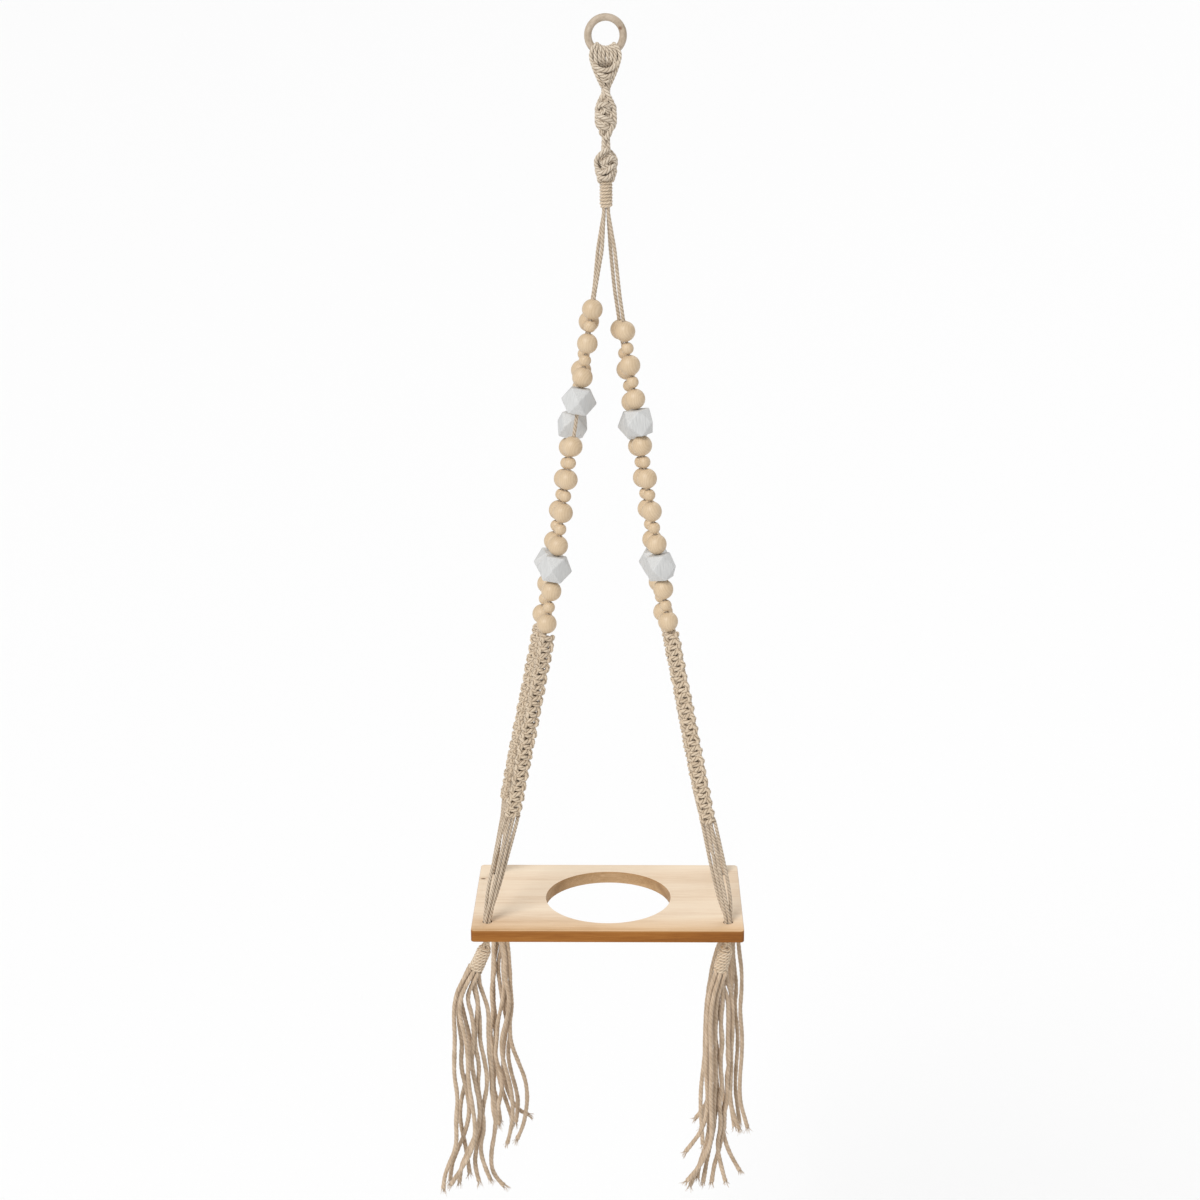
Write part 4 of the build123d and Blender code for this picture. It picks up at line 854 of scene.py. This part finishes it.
class Leg:
    """The places that a leg's pieces share, and one method for each of its pieces."""

    def __init__(self, name, shape):
        self.name, self.shape = name, shape
        self.beads_top, self.braid_top = (np.array(point, float) for point in shape["bead_line"])
        self.braid_end = np.array(shape["sinnet_end"], float)
        self.down = unit(self.braid_end - self.braid_top)
        self.braid_length = np.linalg.norm(self.braid_end - self.braid_top)
        self.across = across_leg(self.down, shape["flat"])
        side = shape["side"]
        self.hole = np.array((side[0] * LEG_HOLE_XY[0], side[1] * LEG_HOLE_XY[1], 0.0))
        self.pivot = self.hole + (0, 0, TASSEL_PIVOT)
        self.foot = self.hole + (TASSEL_LEAN[name], 0, TASSEL_FOOT)
        self.hang = unit(self.foot - self.pivot)
        self.sideways = np.cross((0, 1, 0), self.hang)
        self.wrap_length = np.linalg.norm(self.foot - self.pivot)

    def seat(self, i, j, z):
        """The place at height z of one of the four cords that pass the hole."""
        across = unit((self.across[0], self.across[1], 0))
        deep = np.array((-across[1], across[0], 0))
        return self.hole + (across * i + deep * j) * NECK_OFFSET + np.array((0, 0, z))

    def on_braid(self, u, v, w):
        """The place u across the braid, v in front of it and w down it."""
        w = BRAID_START + w * (1 - BRAID_START / self.braid_length)
        twist = self.shape["twist"] * (w / self.braid_length - 0.5)
        turned = across_leg(self.down, self.shape["flat"] + twist)
        middle = self.braid_top + self.across * CORD_SPACING / 2
        return middle + self.down * w + turned * u - np.cross(turned, self.down) * v

    def in_tassel(self, along, sideward, forward):
        """A place in the tassel's top, from its pivot."""
        return self.pivot + self.hang * along + self.sideways * sideward + np.array((0, forward, 0))

    def make_cords(self):
        """The main cord all the way, and from the braid down four cords."""
        across, down, deep = self.across, self.down, np.cross(self.across, self.down)
        cords = Piece()
        start = np.array([part * NECK_OFFSET for part in self.shape["side"]] + [-168.0])
        cords.rope(taut([
            start, start + (0, 0, -9), self.shape["open"],
            self.beads_top, self.braid_top, self.braid_top + down * 12,
        ]), CORD_R)
        lower = {}
        inner_end = self.braid_end + across * CORD_SPACING
        for way, end, straight in ((-1, self.braid_end, 0.55), (1, inner_end, 0.5)):
            to_board = self.seat(way, -1, OVER_BOARD) - end
            stand_off = (across * way + deep) * self.shape["stand_off"][(way + 1) // 2]
            lower[way, -1] = [end - down * 14, end, end + to_board * straight]
            lower[way, 1] = [
                end + across * way * 3.0 - deep * 1.5 - down * 5,
                end + across * way * 4.6 + down * 3,
                end + to_board * self.shape["bend"] + stand_off,
            ]
        for i, j in QUADRANTS:
            heights = (OVER_BOARD + 0.5, OVER_BOARD - 9, STOPPER_TOP - 1)
            cords.rope(through(lower[i, j] + [self.seat(i, j, z) for z in heights]), CORD_R)
        nodes = f"leg_cord_{self.name}", f"extra_cords_{self.name}"
        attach(cords.made(f"cords_{self.name}", leg_cotton, *nodes), "hanger")

    def make_beads(self):
        """The leg's groups of beads, from the braid up."""
        along = unit(self.beads_top - self.braid_top)
        place = BEAD_START
        for group, body, kinds in BEAD_GROUPS:
            upper = group.startswith("upper")
            centres = []
            for kind in kinds:
                centres.append(place + HALF_HEIGHT[kind] + (self.shape["slid"] if upper else 0))
                place += 2 * HALF_HEIGHT[kind] + BEAD_GAP
            if group == "upper_round_beads":
                centres[-1] += self.shape["lifted"]
            name, node = f"{group}_made_{self.name}", f"{group}_{self.name}"
            if kinds == "W":
                side = across_leg(along, self.shape["faceted"][upper])
                bead = faceted_bead(name, self.braid_top + along * centres[0], along, side)
                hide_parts(node)
            else:
                beads = Piece()
                for kind, centre in zip(kinds, centres):
                    beads.turned(bead_profile(BEAD_R[kind]), self.braid_top + along * centre, along)
                bead = beads.made(name, bead_wood, node, slot="bead_wood")
            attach(bead, f"{body}_{self.name}")

    def make_braid(self):
        """Square knots round two cords that run on through them."""
        knots = round(self.braid_length / KNOT_LENGTH)
        pitch = self.braid_length / knots
        braid = Piece()
        for line in knot_lines(self.on_braid, pitch, knots, half_width=5.2, height=3.5, loose=0.35):
            braid.rope(line, BRAID_CORD_R)
        for offset in (-CORD_SPACING / 2, CORD_SPACING / 2):
            core = [self.on_braid(offset, 0, w) for w in np.linspace(0.5, self.braid_length + 2, 24)]
            braid.rope(spread(core), CORD_R)
        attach(braid.made(f"braid_{self.name}", braid_cotton, f"sinnet_{self.name}"), "hanger")

    def make_stopper(self):
        """The knot under the board: hard turns round the four cords, and one tied over them."""
        top = self.hole + (0, 0, STOPPER_TOP)
        tied = ((3.0, -4.4, -4.5), (0.6, -6.2, -3.4), (-3.4, -5.0, -0.9), (-5.2, -1.6, -0.1))
        stopper = Piece()
        stopper.rope(coil(top, (0.08, 0.05, -1), 4.6, 2.6, stopper_reach), CORD_R)
        stopper.rope(coil(top - (0, 0, 0.4), (-0.05, 0.1, -1), 3.8, 1.4, lambda share: 2.2), CORD_R)
        stopper.rope(through([top + place for place in tied]), KNOT_CORD_R)
        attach(stopper.made(f"stopper_{self.name}", cotton, f"stopper_knot_{self.name}"), "hanger")

    def make_throat(self):
        """The tassel's cords from the knot, across the pivot, into the wrap."""
        throat = Piece()
        for i, j in QUADRANTS:
            throat.rope(through([
                self.hole + (i * 1.9, j * 1.9, -902.5),
                self.hole + (i * 1.8, j * 1.8, -906.5),
                self.in_tassel(3, i * 2.0, j * 2.0),
                self.in_tassel(8, i * 2.6, j * 2.4),
            ]), CORD_R)
        piece = throat.made(f"tassel_throat_{self.name}", cotton)
        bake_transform(piece)

    def make_wrap(self):
        """The tassel's wrap: a coil round its strands, narrow at its top."""
        bundle = Piece()
        turns = (self.wrap_length - 5.5) / 3.45
        axis = self.hang + self.sideways * self.shape["tilt"]
        wound = coil(self.in_tassel(4.6, 0, 0), axis, self.wrap_length - 5.8, turns, tassel_reach,
                     start=random.uniform(0, 6))
        bundle.rope(wound, KNOT_CORD_R, lay_length=10)
        for i in (-1, 0, 1):
            for j in (-1, 1):
                bundle.rope(taut([
                    self.in_tassel(5, i * 2.3, j * 1.8),
                    self.in_tassel(12, i * 3.9, j * 2.4),
                    self.in_tassel(self.wrap_length - 0.6, i * 4.2, j * 2.4),
                ]), STRAND_R)
        piece = bundle.made(f"tassel_top_{self.name}_made", cotton, f"tassel_wrap_{self.name}")
        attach(piece, f"tassel_top_{self.name}")

    def make_strand(self, number, route):
        """One free cord of the tassel, with its frayed end."""
        name = f"strand_{self.name}_{number}"
        points = [self.hole + point for point in route]
        points[0] = points[0] - self.hang * 4.5
        smooth = nurbs_line(points, name)
        line = spread(smooth)
        # Its thickness wanders a little, and it opens out at its end.
        thickness = np.full(len(line), STRAND_R)
        thickness[-6:] *= np.linspace(1, 1.12, 6)
        wander = through(random.normal(1, 0.045, (len(line) // 7 + 2, 3)), 0.01)[:, 0]
        thickness *= np.interp(np.linspace(0, 1, len(line)), np.linspace(0, 1, len(wander)), wander)
        strand = Piece()
        strand.rope(line, thickness, LOOSE_OUTLINE, LOOSE_CREST, STRAND_LAY)
        piece = strand.made(name, tassel_cotton, f"tassel_strands_{self.name}")
        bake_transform(piece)
        frays = frayed_end(line).made(f"frays_{self.name}_{number}", tassel_cotton)
        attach(frays, f"tassel_{self.name}")


def frayed_end(line):
    """Loose yarns that spread from the end of a strand's line."""
    frays = Piece()
    tip, heading = line[-1], unit(line[-1] - line[-8])
    first, second = sides(heading, (0.3, 0.9, 0.1))
    for _ in range(YARN_ENDS):
        angle = random.uniform(0, 2 * pi)
        out = first * cos(angle) + second * sin(angle)
        reach = STRAND_R * sqrt(random.uniform(0.05, 0.9))
        flare = random.uniform(0.0, 0.45)
        length = random.uniform(3.5, 8.5)
        curl = random.normal(0, 0.5, 3)
        frays.fibre(through([
            tip + out * reach * 0.8 - heading * 2.5,
            tip + out * reach + heading * length * 0.3,
            tip + out * (reach + flare * length * 0.5) + heading * length * 0.7 + curl * 0.4,
            tip + out * (reach + flare * length) + heading * length + curl,
        ], 1.2), random.uniform(0.22, 0.42))
    return frays


for name, shape in LEGS.items():
    leg = Leg(name, shape)
    leg.make_cords()
    leg.make_beads()
    leg.make_braid()
    leg.make_stopper()
    leg.make_throat()
    leg.make_wrap()
    for number, route in enumerate(STRANDS[name], 1):
        leg.make_strand(number, route)

# ---- camera, floor and light ----
camera_data = bpy.data.cameras.new("camera")
camera_data.sensor_width = 36
camera_data.lens = 67.7
camera_data.clip_end = 1000
camera = linked("camera", camera_data)
EYE = (0.0271, -2.1677, 0.0839)             # metres
PITCH, YAW, ROLL = 16.61, -0.91, -0.24      # degrees
camera.matrix_world = (
    Matrix.Translation(EYE)
    @ Matrix.Rotation(radians(-YAW), 4, "Z")
    @ Matrix.Rotation(radians(90 - PITCH), 4, "X")
    @ Matrix.Rotation(radians(ROLL), 4, "Z")
)
bpy.context.scene.camera = camera

FLOOR_Z, FLOOR_REACH = -1.95, 200           # metres
floor_mesh = bpy.data.meshes.new("floor")
CORNERS = ((-1, -1), (1, -1), (1, 1), (-1, 1))
floor_corners = [(x * FLOOR_REACH, y * FLOOR_REACH, FLOOR_Z) for x, y in CORNERS]
floor_mesh.from_pydata(floor_corners, [], [(0, 1, 2, 3)])
floor_mesh.materials.append(Shading("floor_pale", 0.9, Base_Color=(0.93, 0.93, 0.93, 1)).material)
linked("floor", floor_mesh)

world = bpy.data.worlds.new("studio")
bpy.context.scene.world = world
world.use_nodes = True
world_tree = world.node_tree
background = world_tree.nodes["Background"]
background.inputs["Color"].default_value = (1.0, 1.0, 1.0, 1)
# White where the camera looks past the floor, and half that as light.
seen = world_tree.nodes.new("ShaderNodeLightPath")
level = world_tree.nodes.new("ShaderNodeMath")
level.operation = "MULTIPLY_ADD"
level.inputs[1].default_value = level.inputs[2].default_value = 0.5
world_tree.links.new(seen.outputs["Is Camera Ray"], level.inputs[0])
world_tree.links.new(level.outputs[0], background.inputs["Strength"])
bpy.context.scene.view_settings.view_transform = "Standard"


def soft_light(name, toward, strength, softness):
    """A broad far light that shines along toward, its softness an angle in degrees."""
    data = bpy.data.lights.new(name, "SUN")
    data.energy = strength
    data.angle = radians(softness)
    linked(name, data).rotation_euler = Vector(toward).to_track_quat("-Z", "Y").to_euler()


soft_light("key", (0.5, 0.85, -0.85), 2.0, 30)
soft_light("back", (-0.5, -0.8, -0.9), 0.7, 50)
